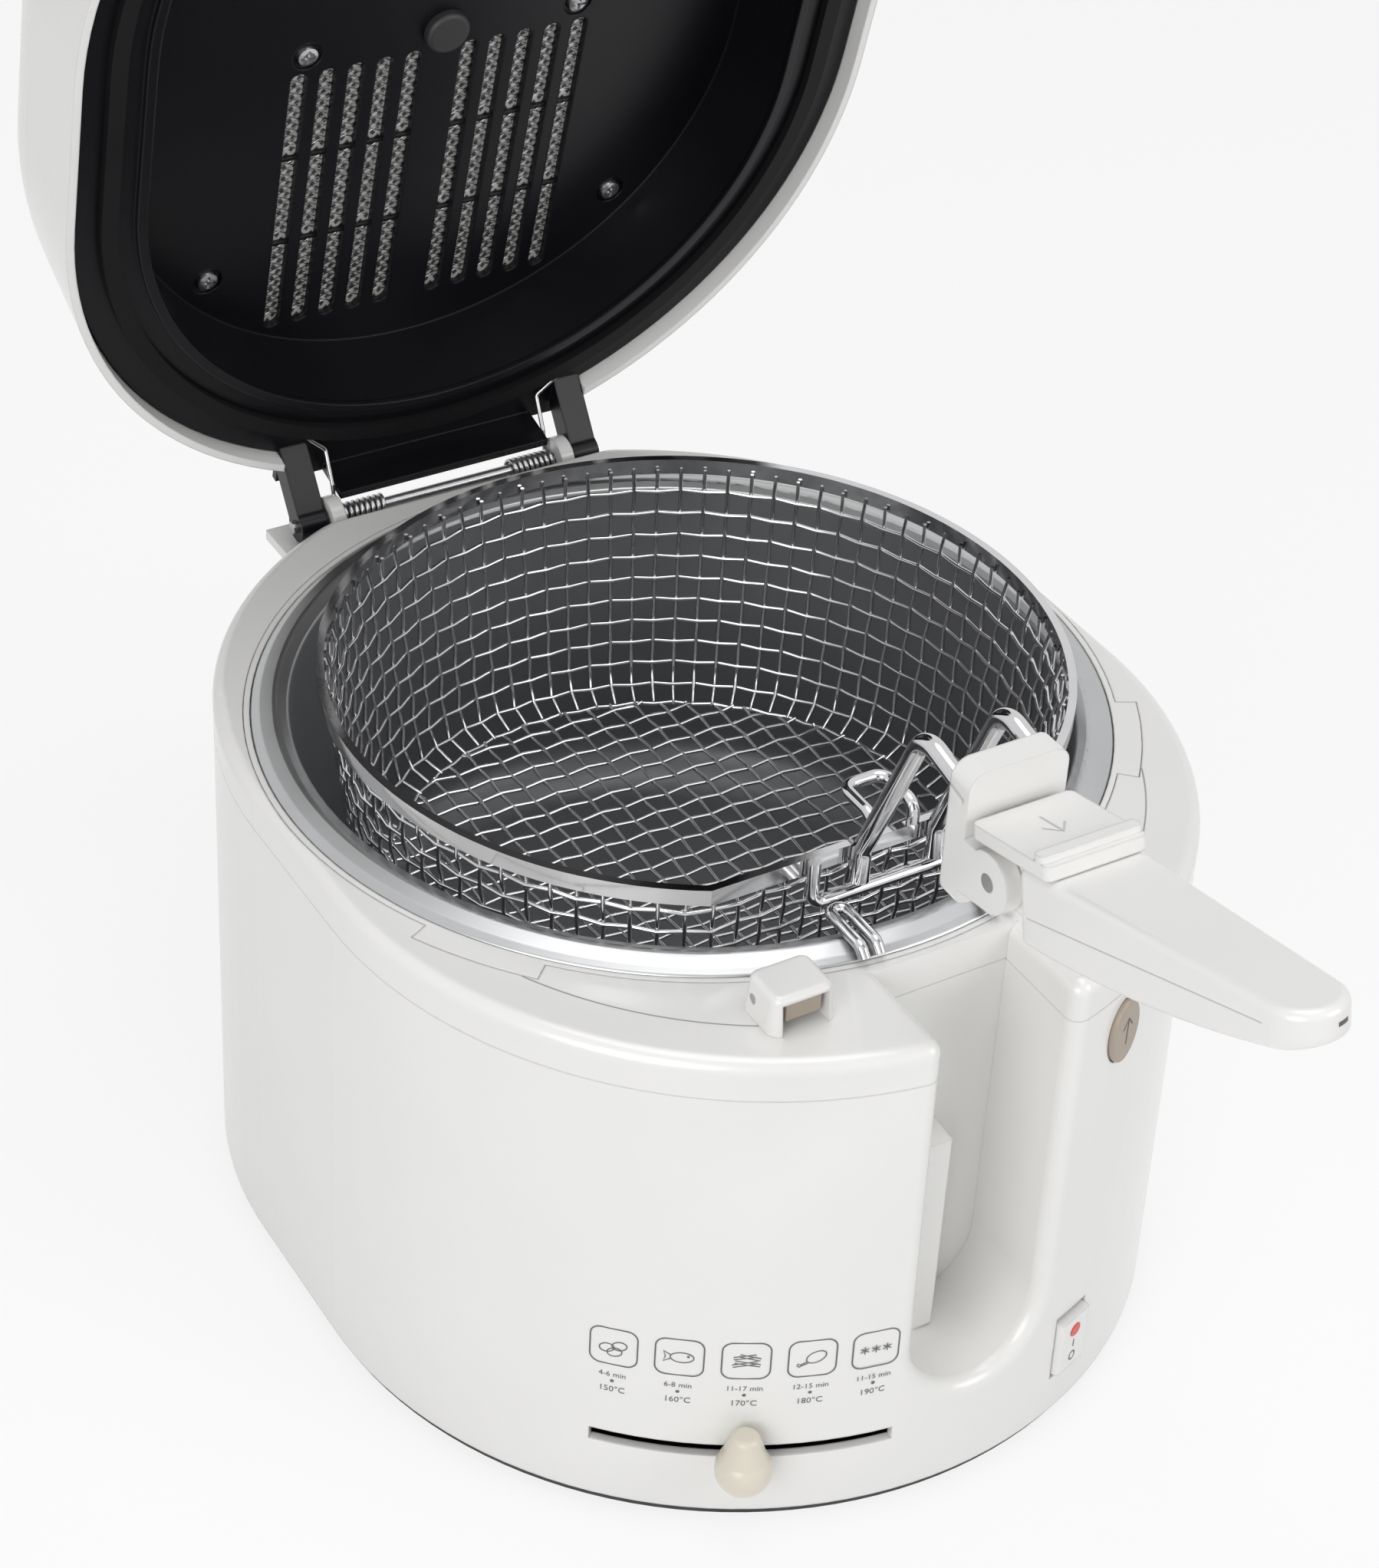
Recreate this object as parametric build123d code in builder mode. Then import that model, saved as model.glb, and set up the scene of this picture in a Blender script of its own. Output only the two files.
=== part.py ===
"""Oval household deep fryer: lid open, basket raised to its draining place, handle out.

The frame: +Z up, +Y to the hinge, -Y to the handle, origin on the table under the bowl's axis.
All sizes are in millimetres.
"""

import os
from math import asin, cos, degrees, pi, radians, sin, sqrt

from build123d import *

os.makedirs("parts", exist_ok=True)

# Body outline: two half circles joined by straight sides
DECK_Z = 166.0
FRONT_Y = -34.0
REAR_Y = 15.0
TOP_R = 127.5
BASE_FLARE = 2.0
WALL = 2.6
FOOT_H = 2.0
FOOT_R = 9.0
FOOT_INSET = 45.5
FOOT_REACH = 58.0
BASE_T = 3.0
PAD_R = 14.0
VENT_Y = 50.0
BASE_INSET = 1.5
RING_H = 12.0
DECK_T = 3.0
DECK_ROUND = 4.0
FIT = 0.2
SCREW_R = 3.5
SCREW_H = 1.5

# Bowl and what heats it
RIM_INSET = 4.5
RIM_W = 11.0
BOWL_T = 1.5
BOWL_FLOOR_Z = 60.0
BOWL_CORNER = 20.0
CROWN_H = 3.0
RIM_SKIRT = 4.0
COLLAR_T = 1.7
COLLAR_H = 6.0
LEDGE_W = 6.0
TAB_REACH = 8.0
TAB_FROM = 47.0
TAB_TO = 63.0
ELEMENT_INSET = 32.0
ELEMENT_TUBE = 4.0
TERMINAL_R = 2.5
TERMINAL_L = 16.0
SHIELD_GAP = 4.5
SHIELD_T = 1.0
SHIELD_Z = 60.0
SHIELD_TOP = 150.0
SHIELD_LEG_W = 12.0

# Handle recess in the front wall
HANDLE_X = 5.0
RECESS_HALF = 21.0
RECESS_GAP = 3.8
RECESS_Z = 37.0
RECESS_ROUND = 4.0
LEDGE_BLOCK_Z = 108.0
LEDGE_BLOCK_D = 12.0
LEDGE_BLOCK_W = 24.0

# Front controls, placed by their angle round the centre of the front half circle
SLOT_FROM = -137.1
SLOT_TO = -99.4
SLOT_Z = 28.0
SLOT_H = 4.5
KNOB_ANGLE = -118.2
KNOB_R = 8.0
KNOB_TAIL = 13.0
KNOB_NECK = 3.6
KNOB_D = 13.5
KNOB_GAP = 0.6
LEVER_T = 3.0
LEVER_W = 8.0
SPINDLE_R = 4.0
SPINDLE_FIT = 0.08
HUB_R = 9.0
HUB_H = 7.0
STAT_L = 44.0
STAT_W = 30.0
STAT_H = 17.0
SWITCH_ANGLE = -71.0
SWITCH_Z = 30.0
ROCKER_W = 12.8
ROCKER_H = 19.6
ROCKER_D = 8.5
ROCKER_OUT = 2.0
PIVOT_DEPTH = 5.2
PIVOT_STUB_R = 1.2
PIVOT_STUB_L = 1.6
SWITCH_BODY_D = 15.0
LENS_R = 2.1
LENS_UP = 4.6
LENS_L = 3.0
BUTTON_ANGLE = -68.0
BUTTON_Z = 140.0
BUTTON_A = 6.4
BUTTON_B = 10.4
BUTTON_OUT = 1.6
BUTTON_FLANGE = 2.0
GLAND_Z = 40.0
GLAND_R = 7.0
GLAND_BORE = 3.4
BLOCK_L = 30.0
BLOCK_W = 18.0
FUSE_T = 4.0

# Lid latch on the deck
LATCH_X = -45.0
HOOD_W = 20.0
HOOD_IN = 5.3
HOOD_L = 17.0
HOOD_H = 11.5
HOOD_WALL = 4.0
CLAW_W = 10.5
CLAW_ROOM = 1.6
CLAW_PIN_IN = 5.5
CLAW_PIN_H = 5.4
CLAW_PIN_R = 1.3
CLAW_T = 4.2
CLAW_NOSE = 1.4

# Lid hinge
HINGE_OUT = 4.5
HINGE_DROP = 10.0
LID_OPEN = 75.0
ROD_R = 2.0
ROD_HALF = 54.0
ROD_FIT = 0.08
BOSS_R = 5.0
BAY_HALF = 58.0
BAY_IN = 17.0
BRACKET_DROP = 5.8
BRACKET_T = 3.4
BRACKET_OUT = 11.0
LUG_X = 38.0
LUG_W = 4.5
BOSS_X = 43.5
BOSS_W = 9.0
APRON_IN = 4.5
APRON_T = 2.5
APRON_DROP = 13.5
APRON_HALF = 36.5
SPRING_WIRE = 1.4
SPRING_TURNS = 8
SPRING_PITCH = 1.86
SPRING_IN = 0.35
SPRING_X = 22.2

# Lid, drawn closed and carried on planes that stand at the open angle
LID_OVER = 2.0
LID_GAP = 1.0
LID_H = 78.0
LID_TAPER = 5.0
LID_ROUND = 44.0
LID_WALL = 2.5
PANEL_UP = 5.0
PANEL_T = 2.5
PANEL_FIT = 0.4
FLANGE_W = 22.5
DISH_DRAFT = 2.5
DISH_H = 26.0
LIP_T = 3.0
LIP_H = 2.0
SEAL_OFF = 6.0
SEAL_W = 5.0
SEAL_GAP = 0.4
MOUTH_HALF = 25.5
MOUTH_IN = 30.8
MOUTH_H = 39.0
POCKET_FIT = 2.5
POCKET_H = 17.0
SLOT_COUNT = 5
SLOT_PITCH = 9.2
SLOT_W = 5.4
SLOT_L = 98.0
SLOT_MID_Y = 53.0
FIELD_X = 27.5
BAR_T = 1.2
MESH_T = 0.8
MESH_MARGIN = 2.0
WELL_R = 4.6
LID_SCREW_R = 3.6
LID_SCREW_H = 2.2
LID_SCREW_MID_X = 44.0
LID_SCREW_MID_Y = -2.0
LID_SCREW_SIDE_IN = 9.5
LID_SCREW_SIDE_Y = -4.0
LID_SCREW_REAR_IN = 35.5
LID_SCREW_REAR_BACK = 42.5
DISC_R = 7.0
DISC_H = 3.0
DISC_Y = -2.0
COVER_L = 96.0
COVER_W = 60.0
COVER_H = 3.0
COVER_SLOTS = 6
CATCH_W = 12.0
CATCH_T = 2.6
CATCH_H = 4.0

# Basket, at its raised place
BASKET_GAP = 5.0
BASKET_Y = -6.0
BASKET_LIFT = 20.0
BASKET_H = 80.0
BASKET_DRAFT = 12.0
BASKET_T = 0.8
CHORD_CUT = 13.0
BAND_T = 2.4
BAND_H = 5.0
ARM_WIRE = 5.5
ARM_HALF = 12.0
ARM_PEAK_IN = 16.0
ARM_PEAK_H = 51.0
ARM_DROP = 9.0
ARM_BEND = 7.0
LOOP_WIRE = 3.6
LOOP_HALF = 6.5
LOOP_IN = 15.0
LOOP_UP = 6.0
REST_WIRE = 3.6
REST_DROP = 14.0
REST_HALF = 26.0
HOOK_WIRE = 3.4
HOOK_X = 20.5
HOOK_HALF = 2.4
HOOK_SEAT = 0.1
HOOK_OFF = 5.2
HOOK_OVER = 0.5
HOOK_TIP_H = 2.1

# Handle
PLATE_HALF = 15.0
PLATE_T = 8.0
PLATE_OUT = 14.2
PLATE_TOP = 75.0
PLATE_H = 42.0
PLATE_BEVEL = 1.8
PLATE_BEVEL_H = 7.0
SOCKET_FIT = 0.15
SOCKET_D = 12.0
PIVOT_OUT = 19.0
PIVOT_H = 50.0
PIN_R = 2.4
PIN_FIT = 0.08
EAR_T = 5.0
EAR_R = 8.5
KNUCKLE_R = 8.0
EAR_GAP = 0.4
GRIP_RISE = 13.0
GRIP_L = 113.0
GRIP_ROOT_W = 30.0
GRIP_TIP_W = 21.0
GRIP_TOP = 10.0
GRIP_ROOT_T = 21.0
GRIP_TIP_T = 9.0
GRIP_START = 13.0
GRIP_ROUND = 2.5
LOCK_L = 32.0
LOCK_W = 30.0
LOCK_T = 4.0
LOCK_BACK = 6.0
LOCK_FIT = 0.3

# Places that follow from the sizes
BASE_R = TOP_R + BASE_FLARE
RIM_R = TOP_R - RIM_INSET
BOWL_R = RIM_R - RIM_W
LEDGE_R = RIM_R - LEDGE_W
TAB_R = RIM_R + TAB_REACH
ELEMENT_R = BOWL_R - ELEMENT_INSET
SHIELD_R = BOWL_R + BOWL_T + SHIELD_GAP
FOOT_X = BASE_R - FOOT_INSET
FOOT_FRONT_Y = FRONT_Y - FOOT_REACH
FOOT_REAR_Y = REAR_Y + FOOT_REACH
RECESS_Y = -RIM_R - RECESS_GAP
SHELL_Z = FOOT_H + BASE_T
RING_Z = DECK_Z - RING_H
CROWN_Z = DECK_Z + CROWN_H
LID_R = TOP_R + LID_OVER
LID_Z = DECK_Z + LID_GAP
PANEL_Z = LID_Z + PANEL_UP
DISH_R = LID_R - FLANGE_W
DISH_TOP_R = DISH_R - DISH_DRAFT
LID_SCREW_SPOTS = [
    (side * x, y)
    for x, y in (
        (LID_SCREW_MID_X, LID_SCREW_MID_Y),
        (DISH_TOP_R - LID_SCREW_REAR_IN, REAR_Y + DISH_TOP_R - LID_SCREW_REAR_BACK),
        (DISH_TOP_R - LID_SCREW_SIDE_IN, LID_SCREW_SIDE_Y),
    )
    for side in (-1, 1)
]
SEAL_IN = DISH_R + SEAL_OFF
SEAL_OUT = SEAL_IN + SEAL_W
HINGE_Y = REAR_Y + TOP_R + HINGE_OUT
HINGE_Z = DECK_Z - HINGE_DROP
BAY_Y = HINGE_Y - BAY_IN
BRACKET_Y = HINGE_Y + BRACKET_OUT
BRACKET_Z = HINGE_Z - BRACKET_DROP
MOUTH_Y = RECESS_Y + MOUTH_IN
HOOD_FROM_Y = RECESS_Y + HOOD_IN
HOOD_TO_Y = HOOD_FROM_Y - HOOD_L
CLAW_PIN_Y = HOOD_FROM_Y - CLAW_PIN_IN
CLAW_PIN_Z = DECK_Z + CLAW_PIN_H
BASKET_R = BOWL_R - BASKET_GAP
BASKET_FOOT_R = BASKET_R - BASKET_DRAFT
BASKET_Z = DECK_Z + BASKET_LIFT
CHORD_Y = BASKET_Y - BASKET_R + CHORD_CUT
HOOK_IN_Y = CHORD_Y - HOOK_OFF
HOOK_OUT_Y = -RIM_R - HOOK_OVER
PLATE_Y = RECESS_Y - PLATE_OUT
PIVOT_Y = PLATE_Y - PIVOT_OUT
ARM_PEAK_Y = PLATE_Y + ARM_PEAK_IN
COLLAR_IN = RIM_R + FIT
COLLAR_OUT = COLLAR_IN + COLLAR_T
SPRING_R = ROD_R + SPRING_IN + SPRING_WIRE / 2
PLATE_Z = DECK_Z + PLATE_TOP
PIVOT_Z = DECK_Z + PIVOT_H
LATCH_MID_Y = (HOOD_FROM_Y + HOOD_TO_Y) / 2
LID_SIN = sin(radians(LID_OPEN))
LID_COS = cos(radians(LID_OPEN))
LID_UP = Axis((0, HINGE_Y, HINGE_Z), (0, LID_SIN, LID_COS))


def wall_radius(z):
    """Outer radius of the tapering body wall at a height."""
    return BASE_R + (TOP_R - BASE_R) * (z - SHELL_Z) / (RING_Z - SHELL_Z)


def oval(radius):
    """Face bounded by the body's outline at a given end radius."""
    with BuildSketch() as face:
        with BuildLine():
            Line((radius, FRONT_Y), (radius, REAR_Y))
            ThreePointArc((radius, REAR_Y), (0, REAR_Y + radius), (-radius, REAR_Y))
            Line((-radius, REAR_Y), (-radius, FRONT_Y))
            ThreePointArc((-radius, FRONT_Y), (0, FRONT_Y - radius), (radius, FRONT_Y))
        make_face()
    return face.sketch


def sector(centre_y, inner, outer, start, end):
    """Face of a ring sector about (0, centre_y), between two angles."""
    mid = radians((start + end) / 2)
    a, b = radians(start), radians(end)
    with BuildSketch() as face:
        with BuildLine():
            Line((inner * cos(a), centre_y + inner * sin(a)), (outer * cos(a), centre_y + outer * sin(a)))
            ThreePointArc(
                (outer * cos(a), centre_y + outer * sin(a)),
                (outer * cos(mid), centre_y + outer * sin(mid)),
                (outer * cos(b), centre_y + outer * sin(b)),
            )
            Line((outer * cos(b), centre_y + outer * sin(b)), (inner * cos(b), centre_y + inner * sin(b)))
            ThreePointArc(
                (inner * cos(b), centre_y + inner * sin(b)),
                (inner * cos(mid), centre_y + inner * sin(mid)),
                (inner * cos(a), centre_y + inner * sin(a)),
            )
        make_face()
    return face.sketch


def groove(half):
    """Upright face of the handle recess: straight sides over a round foot, open at the top."""
    foot = RECESS_Z + RECESS_HALF
    top = DECK_Z + RING_H
    left, right = HANDLE_X - half, HANDLE_X + half
    with BuildSketch() as face:
        with BuildLine():
            Line((right, top), (right, foot))
            ThreePointArc((right, foot), (HANDLE_X, foot - half), (left, foot))
            Line((left, foot), (left, top))
            Line((left, top), (right, top))
        make_face()
    return face.sketch


def recess_edges(edges):
    """Edges where the handle recess breaks through the front wall."""
    near = FRONT_Y - TOP_R * cos(asin((RECESS_HALF + HANDLE_X) / TOP_R)) + WALL / 2
    front = edges.filter_by(lambda edge: edge.center().Y < near and edge.center().Z > RECESS_Z - WALL / 2)
    return front.filter_by(lambda edge: abs(edge.center().X - HANDLE_X) < RECESS_HALF + FIT)


def front_plane(angle, radius, z):
    """Plane on the front wall: X along the wall, Y up, Z outward."""
    a = radians(angle)
    return Plane(
        origin=(radius * cos(a), FRONT_Y + radius * sin(a), z),
        x_dir=(-sin(a), cos(a), 0),
        z_dir=(cos(a), sin(a), 0),
    )


def lid_point(x, y, z):
    """Open place of a point given on the closed lid."""
    dy, dz = y - HINGE_Y, z - HINGE_Z
    return (x, HINGE_Y + dy * LID_COS + dz * LID_SIN, HINGE_Z - dy * LID_SIN + dz * LID_COS)


def lid_level(z):
    """Plane parallel to the lid's rim, in the closed lid's coordinates."""
    return Plane(origin=lid_point(0, 0, z), x_dir=(1, 0, 0), z_dir=(0, LID_SIN, LID_COS))


def lid_side(x):
    """Plane across the hinge axis, in the closed lid's (y, z) coordinates."""
    return Plane(origin=lid_point(x, 0, 0), x_dir=(0, LID_COS, -LID_SIN), z_dir=(1, 0, 0))


def handle_side(x):
    """Plane across the handle pin: X outward along the grip, Y up from the pin."""
    rise = radians(GRIP_RISE)
    return Plane(origin=(HANDLE_X + x, PIVOT_Y, PIVOT_Z), x_dir=(0, -cos(rise), sin(rise)), z_dir=(-1, 0, 0))


def handle_level(height):
    """Plane along the grip at a height above the pin: X across, Y outward."""
    rise = radians(GRIP_RISE)
    up = (0, sin(rise), cos(rise))
    return Plane(
        origin=(HANDLE_X, PIVOT_Y + height * up[1], PIVOT_Z + height * up[2]),
        x_dir=(-1, 0, 0),
        z_dir=up,
    )


def bent_wire(points, bend, diameter):
    """Round wire along straight runs joined by bends of one radius."""
    with BuildPart() as wire:
        with BuildLine() as path:
            FilletPolyline(*points, radius=bend)
        with BuildSketch(Plane(origin=path.line @ 0, z_dir=path.line % 0)):
            Circle(diameter / 2)
        sweep()
    return wire.part


def basket_outline(inset):
    """Face of the basket seen from above: a circle with a flat at the handle."""
    radius = BASKET_R - inset
    flat = CHORD_Y + inset - BASKET_Y
    half = sqrt(radius**2 - flat**2)
    with BuildSketch() as face:
        with BuildLine():
            Line((-half, BASKET_Y + flat), (half, BASKET_Y + flat))
            ThreePointArc((half, BASKET_Y + flat), (0, BASKET_Y + radius), (-half, BASKET_Y + flat))
        make_face()
    return face.sketch


def coil_points(start_x, side):
    """Points and tangents every quarter turn of a spring wound round the hinge rod."""
    quarters = SPRING_TURNS * 4
    rise = SPRING_PITCH / (2 * pi)
    length = sqrt(SPRING_R**2 + rise**2)
    spots = []
    for step in range(quarters + 1):
        turn = -pi / 2 + step * pi / 2
        place = Vector(
            side * (start_x + rise * (turn + pi / 2)),
            HINGE_Y + SPRING_R * cos(turn),
            HINGE_Z + SPRING_R * sin(turn),
        )
        heading = Vector(side * rise, -SPRING_R * sin(turn), SPRING_R * cos(turn)) / length
        spots.append((place, heading))
    return spots


def biarc(first, second):
    """Two arcs that join two points along their tangents."""
    (p0, t0), (p1, t1) = first, second
    gap, both = p1 - p0, t0 + t1
    bend = 2 * (1 - t0.dot(t1))
    reach = (-gap.dot(both) + sqrt(gap.dot(both) ** 2 + bend * gap.dot(gap))) / bend
    a, b = p0 + t0 * reach, p1 - t1 * reach
    middle = (a + b) * 0.5
    TangentArc(p0, middle, tangent=t0)
    TangentArc(middle, p1, tangent=(b - a).normalized())


def least_gap(spots, wire):
    """Least clear distance of a coil's wire to its next turn, on points of its axis."""
    places = [place for place, _ in spots]
    near = [(a - b).length for i, a in enumerate(places) for b in places[i + 3 :]]
    return min(near) - wire


# Housing: drafted wall with the handle recess let into it
with BuildPart() as cavity:
    with BuildSketch(Plane.XY.offset(SHELL_Z)):
        add(oval(BASE_R - WALL))
    with BuildSketch(Plane.XY.offset(RING_Z)):
        add(oval(TOP_R - WALL))
    loft(ruled=True)
    with BuildSketch(Plane.XZ.offset(-RECESS_Y - WALL)):
        add(groove(RECESS_HALF + WALL))
    extrude(amount=BASE_R, mode=Mode.SUBTRACT)

with BuildPart() as housing:
    with BuildSketch(Plane.XY.offset(SHELL_Z)):
        add(oval(BASE_R))
    with BuildSketch(Plane.XY.offset(RING_Z)):
        add(oval(TOP_R))
    loft(ruled=True)
    add(cavity.part, mode=Mode.SUBTRACT)
    with BuildSketch(Plane.XZ.offset(-RECESS_Y)):
        add(groove(RECESS_HALF))
    extrude(amount=BASE_R, mode=Mode.SUBTRACT)
    fillet(recess_edges(housing.edges()), radius=RECESS_ROUND)
    # Guide block standing in the foot of the recess
    with BuildSketch(Plane.XZ.offset(-RECESS_Y)):
        with Locations((HANDLE_X - RECESS_HALF / 2, (RECESS_Z + LEDGE_BLOCK_Z) / 2)):
            Rectangle(LEDGE_BLOCK_W, LEDGE_BLOCK_Z - RECESS_Z)
        add(groove(RECESS_HALF + WALL / 2), mode=Mode.INTERSECT)
    extrude(amount=LEDGE_BLOCK_D, taper=3)
    # Arc slot of the temperature slider
    with BuildSketch(Plane.XY.offset(SLOT_Z - SLOT_H / 2)):
        add(sector(FRONT_Y, BASE_R - 3 * WALL, BASE_R + WALL, SLOT_FROM, SLOT_TO))
    extrude(amount=SLOT_H, mode=Mode.SUBTRACT)
    # Openings of the switch, the release button and the cable gland
    with BuildSketch(front_plane(SWITCH_ANGLE, wall_radius(SWITCH_Z) - 2 * WALL, SWITCH_Z)):
        Rectangle(ROCKER_W + 4 * FIT, ROCKER_H + 3 * WALL / 2)
    extrude(amount=4 * WALL, mode=Mode.SUBTRACT)
    with BuildSketch(front_plane(BUTTON_ANGLE, wall_radius(BUTTON_Z) - 2 * WALL, BUTTON_Z)):
        Ellipse(BUTTON_A + 2 * FIT, BUTTON_B + 2 * FIT)
    extrude(amount=4 * WALL, mode=Mode.SUBTRACT)
    with BuildSketch(Plane.XZ.offset(-REAR_Y - wall_radius(GLAND_Z) - WALL)):
        with Locations((BAY_HALF / 2, GLAND_Z)):
            Circle(GLAND_R - WALL / 2)
    extrude(amount=8 * WALL, mode=Mode.SUBTRACT)
    # Bay of the lid hinge
    with BuildSketch(Plane.XY.offset(BRACKET_Z - BRACKET_T)):
        with Locations((0, BAY_Y + TOP_R / 2)):
            Rectangle(2 * BAY_HALF, TOP_R)
    extrude(amount=RING_H + BRACKET_T, mode=Mode.SUBTRACT)
housing.part.label = "housing"
export_step(housing.part, "parts/housing.step")

# Base plate with its vents and the posts' seats
with BuildPart() as base_plate:
    with BuildSketch(Plane.XY.offset(FOOT_H)):
        add(oval(BASE_R - BASE_INSET))
    extrude(amount=BASE_T)
    with BuildSketch(Plane.XY.offset(FOOT_H)):
        with Locations((0, VENT_Y)):
            with GridLocations(FOOT_R + BASE_T, FOOT_R, 6, 1):
                SlotOverall(6 * FOOT_R, BASE_T, rotation=90)
    extrude(amount=BASE_T, mode=Mode.SUBTRACT)
    # Middle pad that stands on the table with the feet
    with BuildSketch():
        Circle(PAD_R)
    extrude(amount=FOOT_H)
base_plate.part.label = "base_plate"
export_step(base_plate.part, "parts/base_plate.step")

FOOT_SPOTS = [(x, y) for x in (-FOOT_X, FOOT_X) for y in (FOOT_FRONT_Y, FOOT_REAR_Y)]
with BuildPart() as feet:
    with BuildSketch():
        with Locations(*FOOT_SPOTS):
            Circle(FOOT_R)
    extrude(amount=FOOT_H)
feet.part.label = "feet"
export_step(feet.part, "parts/feet.step")

with BuildPart() as base_screws:
    with BuildSketch(Plane.XY.offset(FOOT_H - SCREW_H)):
        with Locations(*[(x, y + 3 * FOOT_R) for x, y in FOOT_SPOTS]):
            Circle(SCREW_R)
    extrude(amount=SCREW_H)
base_screws.part.label = "base_screws"
export_step(base_screws.part, "parts/base_screws.step")

# Top ring: the deck round the bowl, its skirt and the hinge bay
with BuildPart() as top_ring:
    with BuildSketch(Plane.XY.offset(RING_Z)):
        add(oval(TOP_R))
    extrude(amount=RING_H)
    fillet(top_ring.faces().sort_by(Axis.Z)[-1].edges(), radius=DECK_ROUND)
    with BuildSketch(Plane.XY.offset(RING_Z)):
        add(oval(TOP_R - WALL))
    extrude(amount=RING_H - DECK_T, mode=Mode.SUBTRACT)
    with BuildSketch(Plane.XY.offset(RING_Z)):
        add(oval(TOP_R - WALL / 2))
        with Locations((HANDLE_X, RECESS_Y + WALL - TOP_R / 2)):
            Rectangle(2 * (RECESS_HALF + WALL), TOP_R, mode=Mode.INTERSECT)
    extrude(amount=RING_H - DECK_T / 2)
    with BuildSketch(Plane.XY.offset(RING_Z)):
        Circle(COLLAR_OUT + FIT)
    extrude(amount=2 * RING_H, mode=Mode.SUBTRACT)
    with BuildSketch(Plane.XY.offset(DECK_Z - DECK_T)):
        for middle in (-90 - (TAB_FROM + TAB_TO) / 2, -90 + (TAB_FROM + TAB_TO) / 2):
            half = (TAB_TO - TAB_FROM) / 2 + degrees(FIT / TAB_R)
            add(sector(0, COLLAR_IN, TAB_R + FIT, middle - half, middle + half))
    extrude(amount=2 * DECK_T, mode=Mode.SUBTRACT)
    with BuildSketch(Plane.XZ.offset(-RECESS_Y)):
        add(groove(RECESS_HALF))
    extrude(amount=BASE_R, mode=Mode.SUBTRACT)
    fillet(recess_edges(top_ring.edges().filter_by(Axis.Z)), radius=RECESS_ROUND)
    with BuildSketch(Plane.XY.offset(RING_Z)):
        with Locations((0, BAY_Y + TOP_R / 2)):
            Rectangle(2 * BAY_HALF, TOP_R)
    extrude(amount=2 * RING_H, mode=Mode.SUBTRACT)
top_ring.part.label = "top_ring"
export_step(top_ring.part, "parts/top_ring.step")

# Collar that carries the bowl's rim, keyed into the deck by two tabs
with BuildPart() as collar:
    with BuildSketch(Plane.XY.offset(DECK_Z - COLLAR_H)):
        Circle(COLLAR_OUT)
        Circle(COLLAR_IN, mode=Mode.SUBTRACT)
    extrude(amount=COLLAR_H)
    with BuildSketch(Plane.XY.offset(DECK_Z - COLLAR_H)):
        Circle(COLLAR_OUT)
        Circle(LEDGE_R, mode=Mode.SUBTRACT)
    extrude(amount=COLLAR_H - RIM_SKIRT)
    with BuildSketch(Plane.XY.offset(DECK_Z - DECK_T)):
        for middle in (-90 - (TAB_FROM + TAB_TO) / 2, -90 + (TAB_FROM + TAB_TO) / 2):
            half = (TAB_TO - TAB_FROM) / 2
            add(sector(0, COLLAR_IN + COLLAR_T / 2, TAB_R, middle - half, middle + half))
    extrude(amount=DECK_T)
collar.part.label = "bowl_collar"
export_step(collar.part, "parts/bowl_collar.step")

# Bowl: deep drawn, with a broad rolled rim
BOWL_OUT = BOWL_R + BOWL_T
with BuildPart() as bowl:
    with BuildSketch(Plane.XZ) as bowl_profile:
        with BuildLine():
            Polyline(
                (0, BOWL_FLOOR_Z - BOWL_T),
                (BOWL_OUT, BOWL_FLOOR_Z - BOWL_T),
                (BOWL_OUT, DECK_Z),
                (BOWL_OUT + BOWL_T, CROWN_Z - BOWL_T),
                (RIM_R - 2 * BOWL_T, CROWN_Z - 2 * BOWL_T),
                (RIM_R - BOWL_T, DECK_Z - BOWL_T),
                (RIM_R - BOWL_T, DECK_Z - RIM_SKIRT),
                (RIM_R, DECK_Z - RIM_SKIRT),
                (RIM_R, DECK_Z),
                (RIM_R - 1.6 * BOWL_T, CROWN_Z - BOWL_T),
                (BOWL_OUT + 1.6 * BOWL_T, CROWN_Z),
                (BOWL_R, CROWN_Z - BOWL_T),
                (BOWL_R, BOWL_FLOOR_Z),
                (0, BOWL_FLOOR_Z),
                (0, BOWL_FLOOR_Z - BOWL_T),
            )
        make_face()
        fillet(bowl_profile.vertices().sort_by_distance((BOWL_R, BOWL_FLOOR_Z))[0], radius=BOWL_CORNER)
        outer_corner = bowl_profile.vertices().sort_by_distance((BOWL_OUT, BOWL_FLOOR_Z - BOWL_T))[0]
        fillet(outer_corner, radius=BOWL_CORNER + BOWL_T)
        for r, z, bend in (
            (RIM_R, DECK_Z, BOWL_T),
            (RIM_R - 1.6 * BOWL_T, CROWN_Z - BOWL_T, 2 * BOWL_T),
            (BOWL_OUT + 1.6 * BOWL_T, CROWN_Z, 2 * BOWL_T),
            (BOWL_R, CROWN_Z - BOWL_T, BOWL_T),
        ):
            fillet(bowl_profile.vertices().sort_by_distance((r, z))[0], radius=bend)
    revolve(axis=Axis.Z)
bowl.part.label = "bowl"
export_step(bowl.part, "parts/bowl.step")

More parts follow.
